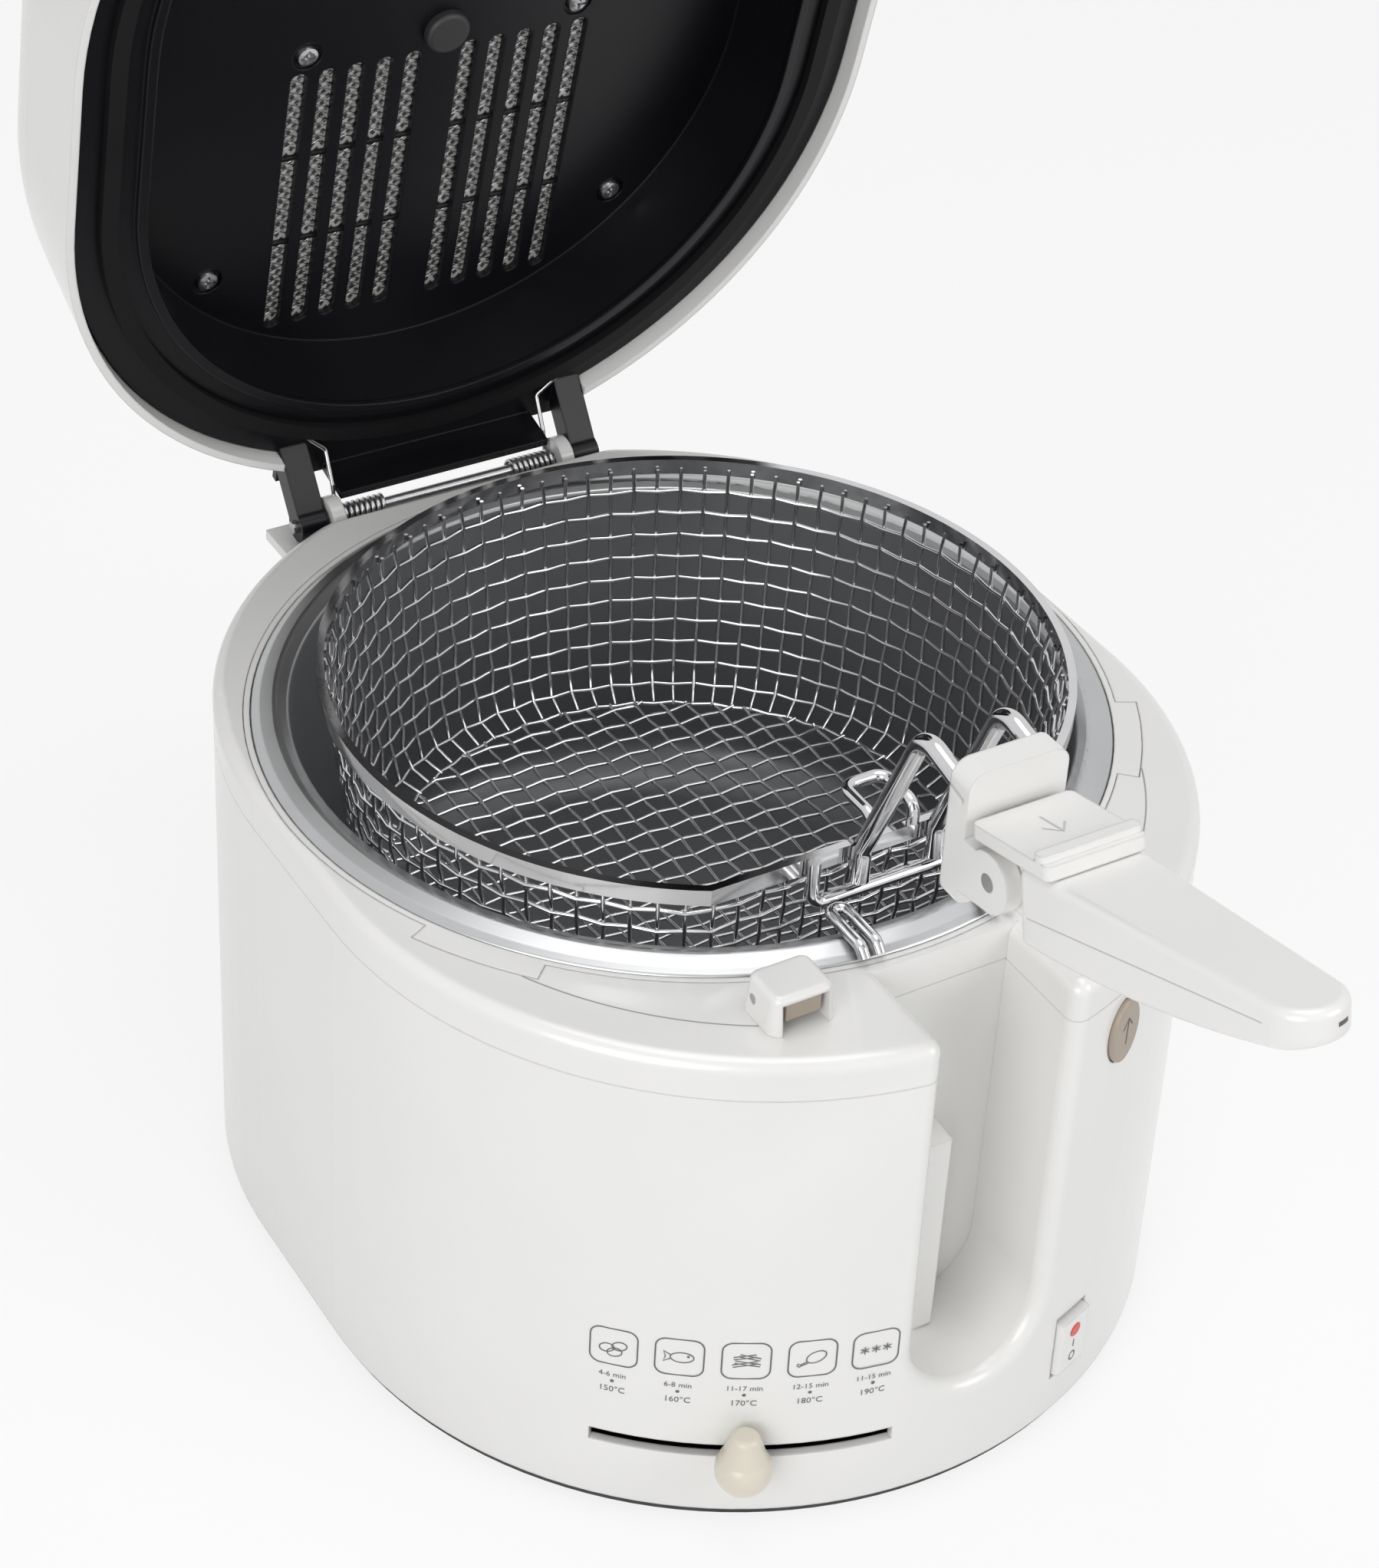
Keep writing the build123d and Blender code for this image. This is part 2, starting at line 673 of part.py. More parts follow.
# Heating element under the floor of the bowl, with its two terminals
ELEMENT_Z = BOWL_FLOOR_Z - BOWL_T - ELEMENT_TUBE - FIT
with BuildPart() as element:
    with Locations((0, 0, ELEMENT_Z)):
        Torus(ELEMENT_R, ELEMENT_TUBE)
    with BuildSketch(Plane.XY.offset(ELEMENT_Z - TERMINAL_L)):
        with Locations((-ELEMENT_R, 0), (ELEMENT_R, 0)):
            Circle(TERMINAL_R)
    extrude(amount=TERMINAL_L)
element.part.label = "heating_element"
export_step(element.part, "parts/heating_element.step")

# Heat shield round the bowl, on three legs
with BuildPart() as shield:
    with BuildSketch(Plane.XY.offset(SHELL_Z)):
        Circle(SHIELD_R + SHIELD_T)
        Circle(SHIELD_R, mode=Mode.SUBTRACT)
    extrude(amount=SHIELD_TOP - SHELL_Z)
    half = degrees(asin(SHIELD_LEG_W / 2 / SHIELD_R))
    for leg in (90, 210, 330):
        with BuildSketch(Plane.XY.offset(SHELL_Z)):
            add(sector(0, SHIELD_R - WALL, SHIELD_R + WALL, leg + half, leg + 120 - half))
        extrude(amount=SHIELD_Z - SHELL_Z, mode=Mode.SUBTRACT)
shield.part.label = "heat_shield"
export_step(shield.part, "parts/heat_shield.step")

# Thermostat, with the spindle that the slider turns on
with BuildPart() as thermostat:
    with BuildSketch(Plane.XY.offset(SHELL_Z)):
        with Locations((0, FRONT_Y)):
            Rectangle(STAT_L, STAT_W)
    extrude(amount=STAT_H)
    with BuildSketch(Plane.XY.offset(SHELL_Z + STAT_H)):
        with Locations((0, FRONT_Y)):
            Circle(SPINDLE_R)
    extrude(amount=SLOT_Z + HUB_H - SHELL_Z - STAT_H)
thermostat.part.label = "thermostat"
export_step(thermostat.part, "parts/thermostat.step")

KNOB_SEAT = wall_radius(SLOT_Z) + KNOB_GAP
with BuildPart() as slider_lever:
    with BuildSketch(Plane.XY.offset(SLOT_Z - HUB_H / 2)):
        with Locations((0, FRONT_Y)):
            Circle(HUB_R)
    extrude(amount=HUB_H)
    with BuildSketch(front_plane(KNOB_ANGLE, HUB_R / 2, SLOT_Z)):
        Rectangle(LEVER_W, LEVER_T)
    extrude(amount=KNOB_SEAT - HUB_R / 2)
    with BuildSketch(Plane.XY.offset(SLOT_Z - HUB_H)):
        with Locations((0, FRONT_Y)):
            Circle(SPINDLE_R + SPINDLE_FIT)
    extrude(amount=2 * HUB_H, mode=Mode.SUBTRACT)
slider_lever.part.label = "slider_lever"
export_step(slider_lever.part, "parts/slider_lever.step")

KNOB_PLANE = front_plane(KNOB_ANGLE, KNOB_SEAT + KNOB_D - KNOB_R, SLOT_Z)
with BuildPart() as slider_knob:
    with BuildSketch(KNOB_PLANE):
        with BuildLine():
            Line((0, -KNOB_R), (0, KNOB_TAIL))
            Line((0, KNOB_TAIL), (KNOB_NECK, KNOB_TAIL))
            Line((KNOB_NECK, KNOB_TAIL), (0.8 * KNOB_R, 0.6 * KNOB_R))
            ThreePointArc((0.8 * KNOB_R, 0.6 * KNOB_R), (0.8 * KNOB_R, -0.6 * KNOB_R), (0, -KNOB_R))
        make_face()
    revolve(axis=Axis(KNOB_PLANE.origin, (0, 0, 1)))
    fillet(slider_knob.faces().sort_by(Axis.Z)[-1].edges(), radius=KNOB_NECK / 2)
    # Flat back that slides along the wall
    with BuildSketch(front_plane(KNOB_ANGLE, KNOB_SEAT, SLOT_Z)):
        Rectangle(4 * KNOB_R, 4 * KNOB_R)
    extrude(amount=-2 * KNOB_R, mode=Mode.SUBTRACT)
slider_knob.part.label = "slider_knob"
export_step(slider_knob.part, "parts/slider_knob.step")

def pivot_plane(shift):
    """Plane across the rocker's pivot, moved along the wall."""
    wall = front_plane(SWITCH_ANGLE, wall_radius(SWITCH_Z) - PIVOT_DEPTH, SWITCH_Z)
    return Plane(origin=wall.origin + wall.x_dir * shift, x_dir=wall.z_dir, z_dir=wall.x_dir)


# Rocker switch: rocker, its pilot lens and the switch body behind the wall
ROCKER_FACE = wall_radius(SWITCH_Z) + ROCKER_OUT
with BuildPart() as rocker:
    with BuildSketch(front_plane(SWITCH_ANGLE, ROCKER_FACE - ROCKER_D, SWITCH_Z)):
        Rectangle(ROCKER_W, ROCKER_H)
    extrude(amount=ROCKER_D)
    fillet(rocker.edges().filter_by(Axis.Z), radius=ROCKER_OUT / 2)
    with BuildSketch(front_plane(SWITCH_ANGLE, ROCKER_FACE - LENS_L, SWITCH_Z)):
        with Locations((0, LENS_UP)):
            Circle(LENS_R + FIT / 2)
    extrude(amount=2 * LENS_L, mode=Mode.SUBTRACT)
    # Pivot stubs
    with BuildSketch(pivot_plane(-ROCKER_W / 2 - PIVOT_STUB_L)):
        Circle(PIVOT_STUB_R)
    extrude(amount=ROCKER_W + 2 * PIVOT_STUB_L)
rocker.part.label = "rocker"
export_step(rocker.part, "parts/rocker.step")

with BuildPart() as lens:
    with BuildSketch(front_plane(SWITCH_ANGLE, ROCKER_FACE - LENS_L, SWITCH_Z)):
        with Locations((0, LENS_UP)):
            Circle(LENS_R)
    extrude(amount=LENS_L + FIT)
lens.part.label = "pilot_lens"
export_step(lens.part, "parts/pilot_lens.step")

SWITCH_SEAT = wall_radius(SWITCH_Z) - WALL - 3 * FIT
with BuildPart() as switch_body:
    with BuildSketch(front_plane(SWITCH_ANGLE, SWITCH_SEAT, SWITCH_Z)):
        Rectangle(ROCKER_W + 2 * WALL, ROCKER_H + 4 * WALL)
    extrude(amount=-SWITCH_BODY_D)
    with BuildSketch(front_plane(SWITCH_ANGLE, SWITCH_SEAT, SWITCH_Z)):
        Rectangle(ROCKER_W + 4 * FIT, ROCKER_H + 3 * WALL / 2)
    extrude(amount=-(ROCKER_D - ROCKER_OUT), mode=Mode.SUBTRACT)
    with BuildSketch(front_plane(SWITCH_ANGLE, SWITCH_SEAT, SWITCH_Z)):
        with Locations((0, (ROCKER_H + 4 * WALL) / 2 - WALL / 2), (0, -(ROCKER_H + 4 * WALL) / 2 + WALL / 2)):
            Rectangle(ROCKER_W + 2 * WALL, WALL)
    extrude(amount=-WALL, mode=Mode.SUBTRACT)
    # Bores for the pivot stubs
    with BuildSketch(pivot_plane(-ROCKER_W)):
        Circle(PIVOT_STUB_R + PIN_FIT)
    extrude(amount=2 * ROCKER_W, mode=Mode.SUBTRACT)
switch_body.part.label = "switch_body"
export_step(switch_body.part, "parts/switch_body.step")

# Lid release button, held behind the wall by its flange
BUTTON_FACE = wall_radius(BUTTON_Z) + BUTTON_OUT
BUTTON_BACK = wall_radius(BUTTON_Z) - WALL - BUTTON_FLANGE
with BuildPart() as button:
    with BuildSketch(front_plane(BUTTON_ANGLE, BUTTON_BACK, BUTTON_Z)):
        Ellipse(BUTTON_A, BUTTON_B)
    extrude(amount=BUTTON_FACE - BUTTON_BACK)
    fillet(button.faces().sort_by(SortBy.DISTANCE)[-1].edges(), radius=BUTTON_OUT / 2)
    with BuildSketch(front_plane(BUTTON_ANGLE, BUTTON_BACK - BUTTON_FLANGE, BUTTON_Z)):
        Ellipse(BUTTON_A + BUTTON_FLANGE, BUTTON_B + BUTTON_FLANGE)
    extrude(amount=BUTTON_FLANGE)
button.part.label = "release_button"
export_step(button.part, "parts/release_button.step")

# Cable gland in the back wall
GLAND_FACE = REAR_Y + wall_radius(GLAND_Z)
with BuildPart() as gland:
    with BuildSketch(Plane.XZ.offset(-GLAND_FACE - WALL)):
        with Locations((BAY_HALF / 2, GLAND_Z)):
            Circle(GLAND_R - WALL / 2 - FIT)
    extrude(amount=5 * WALL)
    with BuildSketch(Plane.XZ.offset(-GLAND_FACE - WALL)):
        with Locations((BAY_HALF / 2, GLAND_Z)):
            Circle(GLAND_BORE)
    extrude(amount=4 * WALL, mode=Mode.SUBTRACT)
gland.part.label = "cable_gland"
export_step(gland.part, "parts/cable_gland.step")

# Latch on the deck: hood, claw and its pin
with BuildPart() as hood:
    with BuildSketch(Plane.XY.offset(DECK_Z)):
        with Locations((LATCH_X, LATCH_MID_Y)):
            RectangleRounded(HOOD_W, HOOD_L, HOOD_WALL)
    extrude(amount=HOOD_H, taper=6)
    fillet(hood.faces().sort_by(Axis.Z)[-1].edges(), radius=HOOD_WALL / 2)
    with BuildSketch(Plane.XZ.offset(-HOOD_FROM_Y + HOOD_WALL / 2)):
        with Locations((LATCH_X, DECK_Z + (HOOD_H - HOOD_WALL / 2) / 2)):
            Rectangle(CLAW_W + 2 * CLAW_ROOM, HOOD_H - HOOD_WALL / 2)
    extrude(amount=HOOD_L, mode=Mode.SUBTRACT)
    with BuildSketch(Plane.YZ.offset(LATCH_X - HOOD_W)):
        with Locations((CLAW_PIN_Y, CLAW_PIN_Z)):
            Circle(CLAW_PIN_R + PIN_FIT)
    extrude(amount=2 * HOOD_W, mode=Mode.SUBTRACT)
hood.part.label = "latch_hood"
export_step(hood.part, "parts/latch_hood.step")

CLAW_FROM_Y = CLAW_PIN_Y + CLAW_T / 2
CLAW_TO_Y = HOOD_TO_Y + HOOD_WALL / 2
with BuildPart() as claw:
    with BuildSketch(Plane.YZ.offset(LATCH_X - CLAW_W / 2)):
        with BuildLine():
            Polyline(
                (CLAW_FROM_Y, CLAW_PIN_Z - CLAW_T / 2),
                (CLAW_TO_Y, CLAW_PIN_Z - CLAW_T / 2),
                (CLAW_TO_Y, CLAW_PIN_Z + CLAW_T / 2 + CLAW_NOSE),
                (CLAW_TO_Y + CLAW_T, CLAW_PIN_Z + CLAW_T / 2),
                (CLAW_FROM_Y, CLAW_PIN_Z + CLAW_T / 2),
                close=True,
            )
        make_face()
        with Locations((CLAW_PIN_Y, CLAW_PIN_Z)):
            Circle(CLAW_PIN_R + PIN_FIT, mode=Mode.SUBTRACT)
    extrude(amount=CLAW_W)
claw.part.label = "latch_claw"
export_step(claw.part, "parts/latch_claw.step")

with BuildPart() as claw_pin:
    with BuildSketch(Plane.YZ.offset(LATCH_X - CLAW_W / 2 - HOOD_WALL)):
        with Locations((CLAW_PIN_Y, CLAW_PIN_Z)):
            Circle(CLAW_PIN_R)
    extrude(amount=CLAW_W + 2 * HOOD_WALL)
claw_pin.part.label = "latch_pin"
export_step(claw_pin.part, "parts/latch_pin.step")

# Hinge bracket in the bay behind the bowl, with its two lugs and spring stops
with BuildPart() as bracket:
    with BuildSketch(Plane.XY.offset(BRACKET_Z - BRACKET_T)):
        with Locations((0, (BAY_Y + BRACKET_Y) / 2)):
            Rectangle(2 * BAY_HALF - 2 * FIT, BRACKET_Y - BAY_Y - 2 * FIT)
    extrude(amount=BRACKET_T)
    for side in (-1, 1):
        with BuildSketch(Plane.YZ.offset(side * (LUG_X + LUG_W / 2) - LUG_W / 2)):
            with Locations((HINGE_Y, HINGE_Z)):
                Circle(BOSS_R + ROD_R)
            with Locations((HINGE_Y, (HINGE_Z + BRACKET_Z) / 2)):
                Rectangle(2 * (BOSS_R + ROD_R), HINGE_Z - BRACKET_Z)
        extrude(amount=LUG_W)
        with BuildSketch(Plane.XY.offset(BRACKET_Z)):
            with Locations((side * (SPRING_X + LUG_W), BAY_Y + 2 * BOSS_R)):
                Rectangle(2 * BOSS_R, WALL)
        extrude(amount=HINGE_Z - BRACKET_Z)
    with BuildSketch(Plane.YZ.offset(-BAY_HALF)):
        with Locations((HINGE_Y, HINGE_Z)):
            Circle(ROD_R + ROD_FIT)
    extrude(amount=2 * BAY_HALF, mode=Mode.SUBTRACT)
bracket.part.label = "hinge_bracket"
export_step(bracket.part, "parts/hinge_bracket.step")

with BuildPart() as rod:
    with BuildSketch(Plane.YZ.offset(-ROD_HALF)):
        with Locations((HINGE_Y, HINGE_Z)):
            Circle(ROD_R)
    extrude(amount=2 * ROD_HALF)
rod.part.label = "hinge_rod"
export_step(rod.part, "parts/hinge_rod.step")


def lid_spring(side, name):
    """Torsion spring on the rod, its tail resting on the bracket."""
    spots = coil_points(SPRING_X, side)
    tail = Vector(side * SPRING_X, HINGE_Y - 1.6 * SPRING_R, HINGE_Z - SPRING_R)
    with BuildPart() as spring:
        with BuildLine() as path:
            Line(tail, spots[0][0])
            for first, second in zip(spots, spots[1:]):
                biarc(first, second)
        with BuildSketch(Plane(origin=path.line @ 0, z_dir=path.line % 0)):
            Circle(SPRING_WIRE / 2)
        sweep()
    print(name, "least gap between turns", round(least_gap(spots, SPRING_WIRE), 3))
    spring.part.label = name
    export_step(spring.part, f"parts/{name}.step")


lid_spring(-1, "left_lid_spring")
lid_spring(1, "right_lid_spring")

# Lid shell: a tall dome with a mouth at the front for the basket's arms
with BuildPart() as lid_core:
    with BuildSketch(lid_level(LID_Z)):
        add(oval(LID_R - LID_WALL))
    extrude(amount=LID_H - LID_WALL, taper=LID_TAPER)
    fillet(lid_core.faces().sort_by(LID_UP)[-1].edges(), radius=LID_ROUND - LID_WALL)

with BuildPart() as lid_shell:
    with BuildSketch(lid_level(LID_Z)):
        add(oval(LID_R))
    extrude(amount=LID_H, taper=LID_TAPER)
    fillet(lid_shell.faces().sort_by(LID_UP)[-1].edges(), radius=LID_ROUND)
    add(lid_core.part, mode=Mode.SUBTRACT)
    with BuildSketch(lid_level(LID_Z)):
        with Locations((HANDLE_X, MOUTH_Y - LID_R / 2)):
            Rectangle(2 * MOUTH_HALF, LID_R)
    extrude(amount=MOUTH_H, mode=Mode.SUBTRACT)
    # Way through the wall for the panel's apron and hinge arms
    with BuildSketch(lid_level(LID_Z)):
        with Locations((0, HINGE_Y - BOSS_R)):
            Rectangle(2 * (BOSS_X + BOSS_W + FIT), 6 * BOSS_R)
    extrude(amount=PANEL_UP + PANEL_T + FIT, mode=Mode.SUBTRACT)
lid_shell.part.label = "lid_shell"
export_step(lid_shell.part, "parts/lid_shell.step")

# Lid panel: flange, sealing lip, dished middle with two slotted fields, and the hinge bosses
PANEL_R = LID_R - LID_WALL - PANEL_FIT - (PANEL_Z - LID_Z + PANEL_T) * sin(radians(LID_TAPER))
PLATE_UP = PANEL_Z + DISH_H
with BuildPart() as lid_panel:
    with BuildSketch(lid_level(PANEL_Z)):
        add(oval(PANEL_R))
    extrude(amount=PANEL_T)
    with BuildSketch(lid_level(PANEL_Z)):
        add(oval(DISH_R))
    with BuildSketch(lid_level(PLATE_UP + PANEL_T)):
        add(oval(DISH_TOP_R))
    loft(ruled=True)
    with BuildSketch(lid_level(PANEL_Z)):
        add(oval(DISH_R - PANEL_T))
    with BuildSketch(lid_level(PLATE_UP)):
        add(oval(DISH_TOP_R - PANEL_T))
    loft(ruled=True, mode=Mode.SUBTRACT)
    with BuildSketch(lid_level(PANEL_Z - LIP_H)):
        add(oval(DISH_R))
    extrude(amount=LIP_H)
    with BuildSketch(lid_level(PANEL_Z - LIP_H)):
        add(oval(DISH_R - LIP_T))
    extrude(amount=LIP_H, mode=Mode.SUBTRACT)
    # Slotted fields
    with BuildSketch(lid_level(PLATE_UP)):
        for side in (-1, 1):
            with Locations((side * FIELD_X, SLOT_MID_Y)):
                with GridLocations(SLOT_PITCH, SLOT_L, SLOT_COUNT, 1):
                    SlotOverall(SLOT_L, SLOT_W, rotation=90)
    extrude(amount=PANEL_T, mode=Mode.SUBTRACT)
    with BuildSketch(lid_level(PLATE_UP + PANEL_T / 2)):
        for side in (-1, 1):
            with Locations((side * FIELD_X, SLOT_MID_Y)):
                with GridLocations(SLOT_PITCH, SLOT_L / 3, 1, 2):
                    Rectangle(SLOT_COUNT * SLOT_PITCH, BAR_T)
    extrude(amount=PANEL_T / 2)
    # Screw wells
    with BuildSketch(lid_level(PLATE_UP)):
        with Locations(*LID_SCREW_SPOTS):
            Circle(WELL_R)
    extrude(amount=PANEL_T / 2, mode=Mode.SUBTRACT)
    # Mouth for the arms, pocket over the latch
    with BuildSketch(lid_level(PANEL_Z - LIP_H)):
        with Locations((HANDLE_X, MOUTH_Y - LID_R / 2)):
            Rectangle(2 * MOUTH_HALF, LID_R)
    extrude(amount=MOUTH_H, mode=Mode.SUBTRACT)
    with BuildSketch(lid_level(DECK_Z)):
        with Locations((LATCH_X, LATCH_MID_Y)):
            Rectangle(HOOD_W + 2 * POCKET_FIT, HOOD_L + 2 * POCKET_FIT)
    extrude(amount=POCKET_H, mode=Mode.SUBTRACT)
    # Apron that closes the gap behind the hinge rod
    with BuildSketch(lid_level(PANEL_Z)):
        with Locations((0, HINGE_Y - APRON_IN - 2 * BOSS_R)):
            Rectangle(2 * (BOSS_X + BOSS_W), 4 * BOSS_R)
    extrude(amount=PANEL_T)
    with BuildSketch(lid_level(PANEL_Z - APRON_DROP)):
        with Locations((0, HINGE_Y - APRON_IN - APRON_T / 2)):
            Rectangle(2 * APRON_HALF, APRON_T)
    extrude(amount=APRON_DROP)
    # Hinge bosses
    for side in (-1, 1):
        with BuildSketch(lid_side(side * (BOSS_X + BOSS_W / 2) - BOSS_W / 2)):
            with BuildLine():
                Polyline(
                    (HINGE_Y - BOSS_R, HINGE_Z),
                    (HINGE_Y - 4 * BOSS_R, PANEL_Z + PANEL_T / 2),
                    (HINGE_Y - 2 * BOSS_R, PANEL_Z + PANEL_T / 2),
                    (HINGE_Y + BOSS_R, HINGE_Z),
                    close=True,
                )
            make_face()
            with Locations((HINGE_Y, HINGE_Z)):
                Circle(BOSS_R)
                Circle(ROD_R + ROD_FIT, mode=Mode.SUBTRACT)
        extrude(amount=BOSS_W)
lid_panel.part.label = "lid_panel"
export_step(lid_panel.part, "parts/lid_panel.step")

SEAL_END_X = LATCH_X - HOOD_W / 2 - POCKET_FIT
with BuildPart() as seal:
    with BuildSketch(lid_level(CROWN_Z + SEAL_GAP)):
        add(oval(SEAL_OUT))
        add(oval(SEAL_IN), mode=Mode.SUBTRACT)
        with Locations(((SEAL_END_X + HANDLE_X + MOUTH_HALF) / 2, MOUTH_Y - LID_R / 2)):
            Rectangle(HANDLE_X + MOUTH_HALF - SEAL_END_X, LID_R, mode=Mode.SUBTRACT)
    extrude(amount=PANEL_Z - CROWN_Z - SEAL_GAP)
seal.part.label = "lid_seal"
export_step(seal.part, "parts/lid_seal.step")

with BuildPart() as filter_mesh:
    with BuildSketch(lid_level(PLATE_UP + PANEL_T)):
        with Locations((0, SLOT_MID_Y)):
            Rectangle(2 * FIELD_X + SLOT_COUNT * SLOT_PITCH + MESH_MARGIN, SLOT_L + MESH_MARGIN)
    extrude(amount=MESH_T)
filter_mesh.part.label = "filter_mesh"
export_step(filter_mesh.part, "parts/filter_mesh.step")

with BuildPart() as lid_screws:
    with BuildSketch(lid_level(PLATE_UP + PANEL_T / 2 - LID_SCREW_H)):
        with Locations(*LID_SCREW_SPOTS):
            Circle(LID_SCREW_R)
    extrude(amount=LID_SCREW_H)
lid_screws.part.label = "lid_screws"
export_step(lid_screws.part, "parts/lid_screws.step")

with BuildPart() as disc:
    with BuildSketch(lid_level(PLATE_UP - DISC_H)):
        with Locations((0, DISC_Y)):
            Circle(DISC_R)
    extrude(amount=DISC_H)
    fillet(disc.faces().sort_by(LID_UP)[0].edges(), radius=DISC_H / 2)
disc.part.label = "steam_valve"
export_step(disc.part, "parts/steam_valve.step")

with BuildPart() as vent_cover:
    with BuildSketch(lid_level(LID_Z + LID_H)):
        with Locations((0, SLOT_MID_Y / 2)):
            RectangleRounded(COVER_L, COVER_W, COVER_W / 5)
    extrude(amount=COVER_H)
    with BuildSketch(lid_level(LID_Z + LID_H)):
        with Locations((0, SLOT_MID_Y / 2)):
            with GridLocations(COVER_L, COVER_W / (COVER_SLOTS + 1), 1, COVER_SLOTS):
                SlotOverall(COVER_L - COVER_W / 5, COVER_H)
    extrude(amount=COVER_H, mode=Mode.SUBTRACT)
vent_cover.part.label = "vent_cover"
export_step(vent_cover.part, "parts/vent_cover.step")

CATCH_Y = HOOD_TO_Y - POCKET_FIT - CATCH_T
with BuildPart() as catch:
    with BuildSketch(lid_level(PANEL_Z - CATCH_H)):
        with Locations((LATCH_X, CATCH_Y)):
            Rectangle(CATCH_W, CATCH_T)
    extrude(amount=CATCH_H)
catch.part.label = "lid_catch"
export_step(catch.part, "parts/lid_catch.step")

# Basket: wall and floor, rim band, arms, grip loop and resting wire
with BuildPart() as basket:
    with BuildSketch(Plane.XY.offset(BASKET_Z - BASKET_H)):
        add(basket_outline(BASKET_R - BASKET_FOOT_R))
    with BuildSketch(Plane.XY.offset(BASKET_Z - BAND_H / 2)):
        add(basket_outline(BAND_T))
    loft()
    with BuildSketch(Plane.XY.offset(BASKET_Z - BASKET_H + BASKET_T)):
        add(basket_outline(BASKET_R - BASKET_FOOT_R + BASKET_T))
    with BuildSketch(Plane.XY.offset(BASKET_Z - BAND_H / 2)):
        add(basket_outline(BAND_T + BASKET_T))
    loft(mode=Mode.SUBTRACT)
basket.part.label = "basket_mesh"
export_step(basket.part, "parts/basket_mesh.step")

with BuildPart() as band:
    with BuildSketch(Plane.XY.offset(BASKET_Z - BAND_H)):
        add(basket_outline(0))
    extrude(amount=BAND_H)
    with BuildSketch(Plane.XY.offset(BASKET_Z - BAND_H)):
        add(basket_outline(BAND_T))
    extrude(amount=BAND_H, mode=Mode.SUBTRACT)
band.part.label = "basket_rim"
export_step(band.part, "parts/basket_rim.step")


def basket_arm(x, wire):
    """Arm wire from the basket's flat over the rim to the handle's socket."""
    foot_y = CHORD_Y - ARM_WIRE / 2
    return bent_wire(
        [
            (x, foot_y, BASKET_Z - 2 * BAND_H),
            (x, foot_y, BASKET_Z),
            (x, ARM_PEAK_Y, BASKET_Z + ARM_PEAK_H),
            (x, PLATE_Y - SOCKET_D / 2, PLATE_Z - ARM_DROP),
        ],
        ARM_BEND,
        wire,
    )


for side, name in ((-1, "left_arm"), (1, "right_arm")):
    arm = basket_arm(HANDLE_X + side * ARM_HALF, ARM_WIRE)
    arm.label = name
    export_step(arm, f"parts/{name}.step")

LOOP_Y = CHORD_Y + BAND_T / 2
grip_loop = bent_wire(
    [
        (HANDLE_X - LOOP_HALF, LOOP_Y, BASKET_Z),
        (HANDLE_X - LOOP_HALF, LOOP_Y, BASKET_Z + LOOP_UP),
        (HANDLE_X - LOOP_HALF, LOOP_Y + LOOP_IN, BASKET_Z + LOOP_UP),
        (HANDLE_X + LOOP_HALF, LOOP_Y + LOOP_IN, BASKET_Z + LOOP_UP),
        (HANDLE_X + LOOP_HALF, LOOP_Y, BASKET_Z + LOOP_UP),
        (HANDLE_X + LOOP_HALF, LOOP_Y, BASKET_Z),
    ],
    LOOP_WIRE,
    LOOP_WIRE,
)
grip_loop.label = "grip_loop"
export_step(grip_loop, "parts/grip_loop.step")

REST_Y = CHORD_Y - REST_WIRE / 2
rest_wire = bent_wire(
    [
        (HANDLE_X - REST_HALF, REST_Y, BASKET_Z),
        (HANDLE_X - REST_HALF, REST_Y, BASKET_Z - REST_DROP),
        (HANDLE_X + REST_HALF, REST_Y, BASKET_Z - REST_DROP),
        (HANDLE_X + REST_HALF, REST_Y, BASKET_Z),
    ],
    REST_WIRE,
    REST_WIRE,
)
rest_wire.label = "rest_wire"
export_step(rest_wire, "parts/rest_wire.step")

# Drain hooks: hairpins laid over the bowl's rim
HOOK_Z = CROWN_Z + HOOK_WIRE / 2 + HOOK_SEAT
for side, name in ((-1, "left_drain_hook"), (1, "right_drain_hook")):
    inner = HANDLE_X + side * HOOK_X - HOOK_HALF
    outer = inner + 2 * HOOK_HALF
    hook = bent_wire(
        [
            (inner, HOOK_OUT_Y, DECK_Z + HOOK_TIP_H),
            (inner, HOOK_OUT_Y + HOOK_HALF, HOOK_Z),
            (inner, HOOK_IN_Y, HOOK_Z),
            (outer, HOOK_IN_Y, HOOK_Z),
            (outer, HOOK_OUT_Y + HOOK_HALF, HOOK_Z),
            (outer, HOOK_OUT_Y, DECK_Z + HOOK_TIP_H),
        ],
        0.9 * HOOK_HALF,
        HOOK_WIRE,
    )
    hook.label = name
    export_step(hook, f"parts/{name}.step")

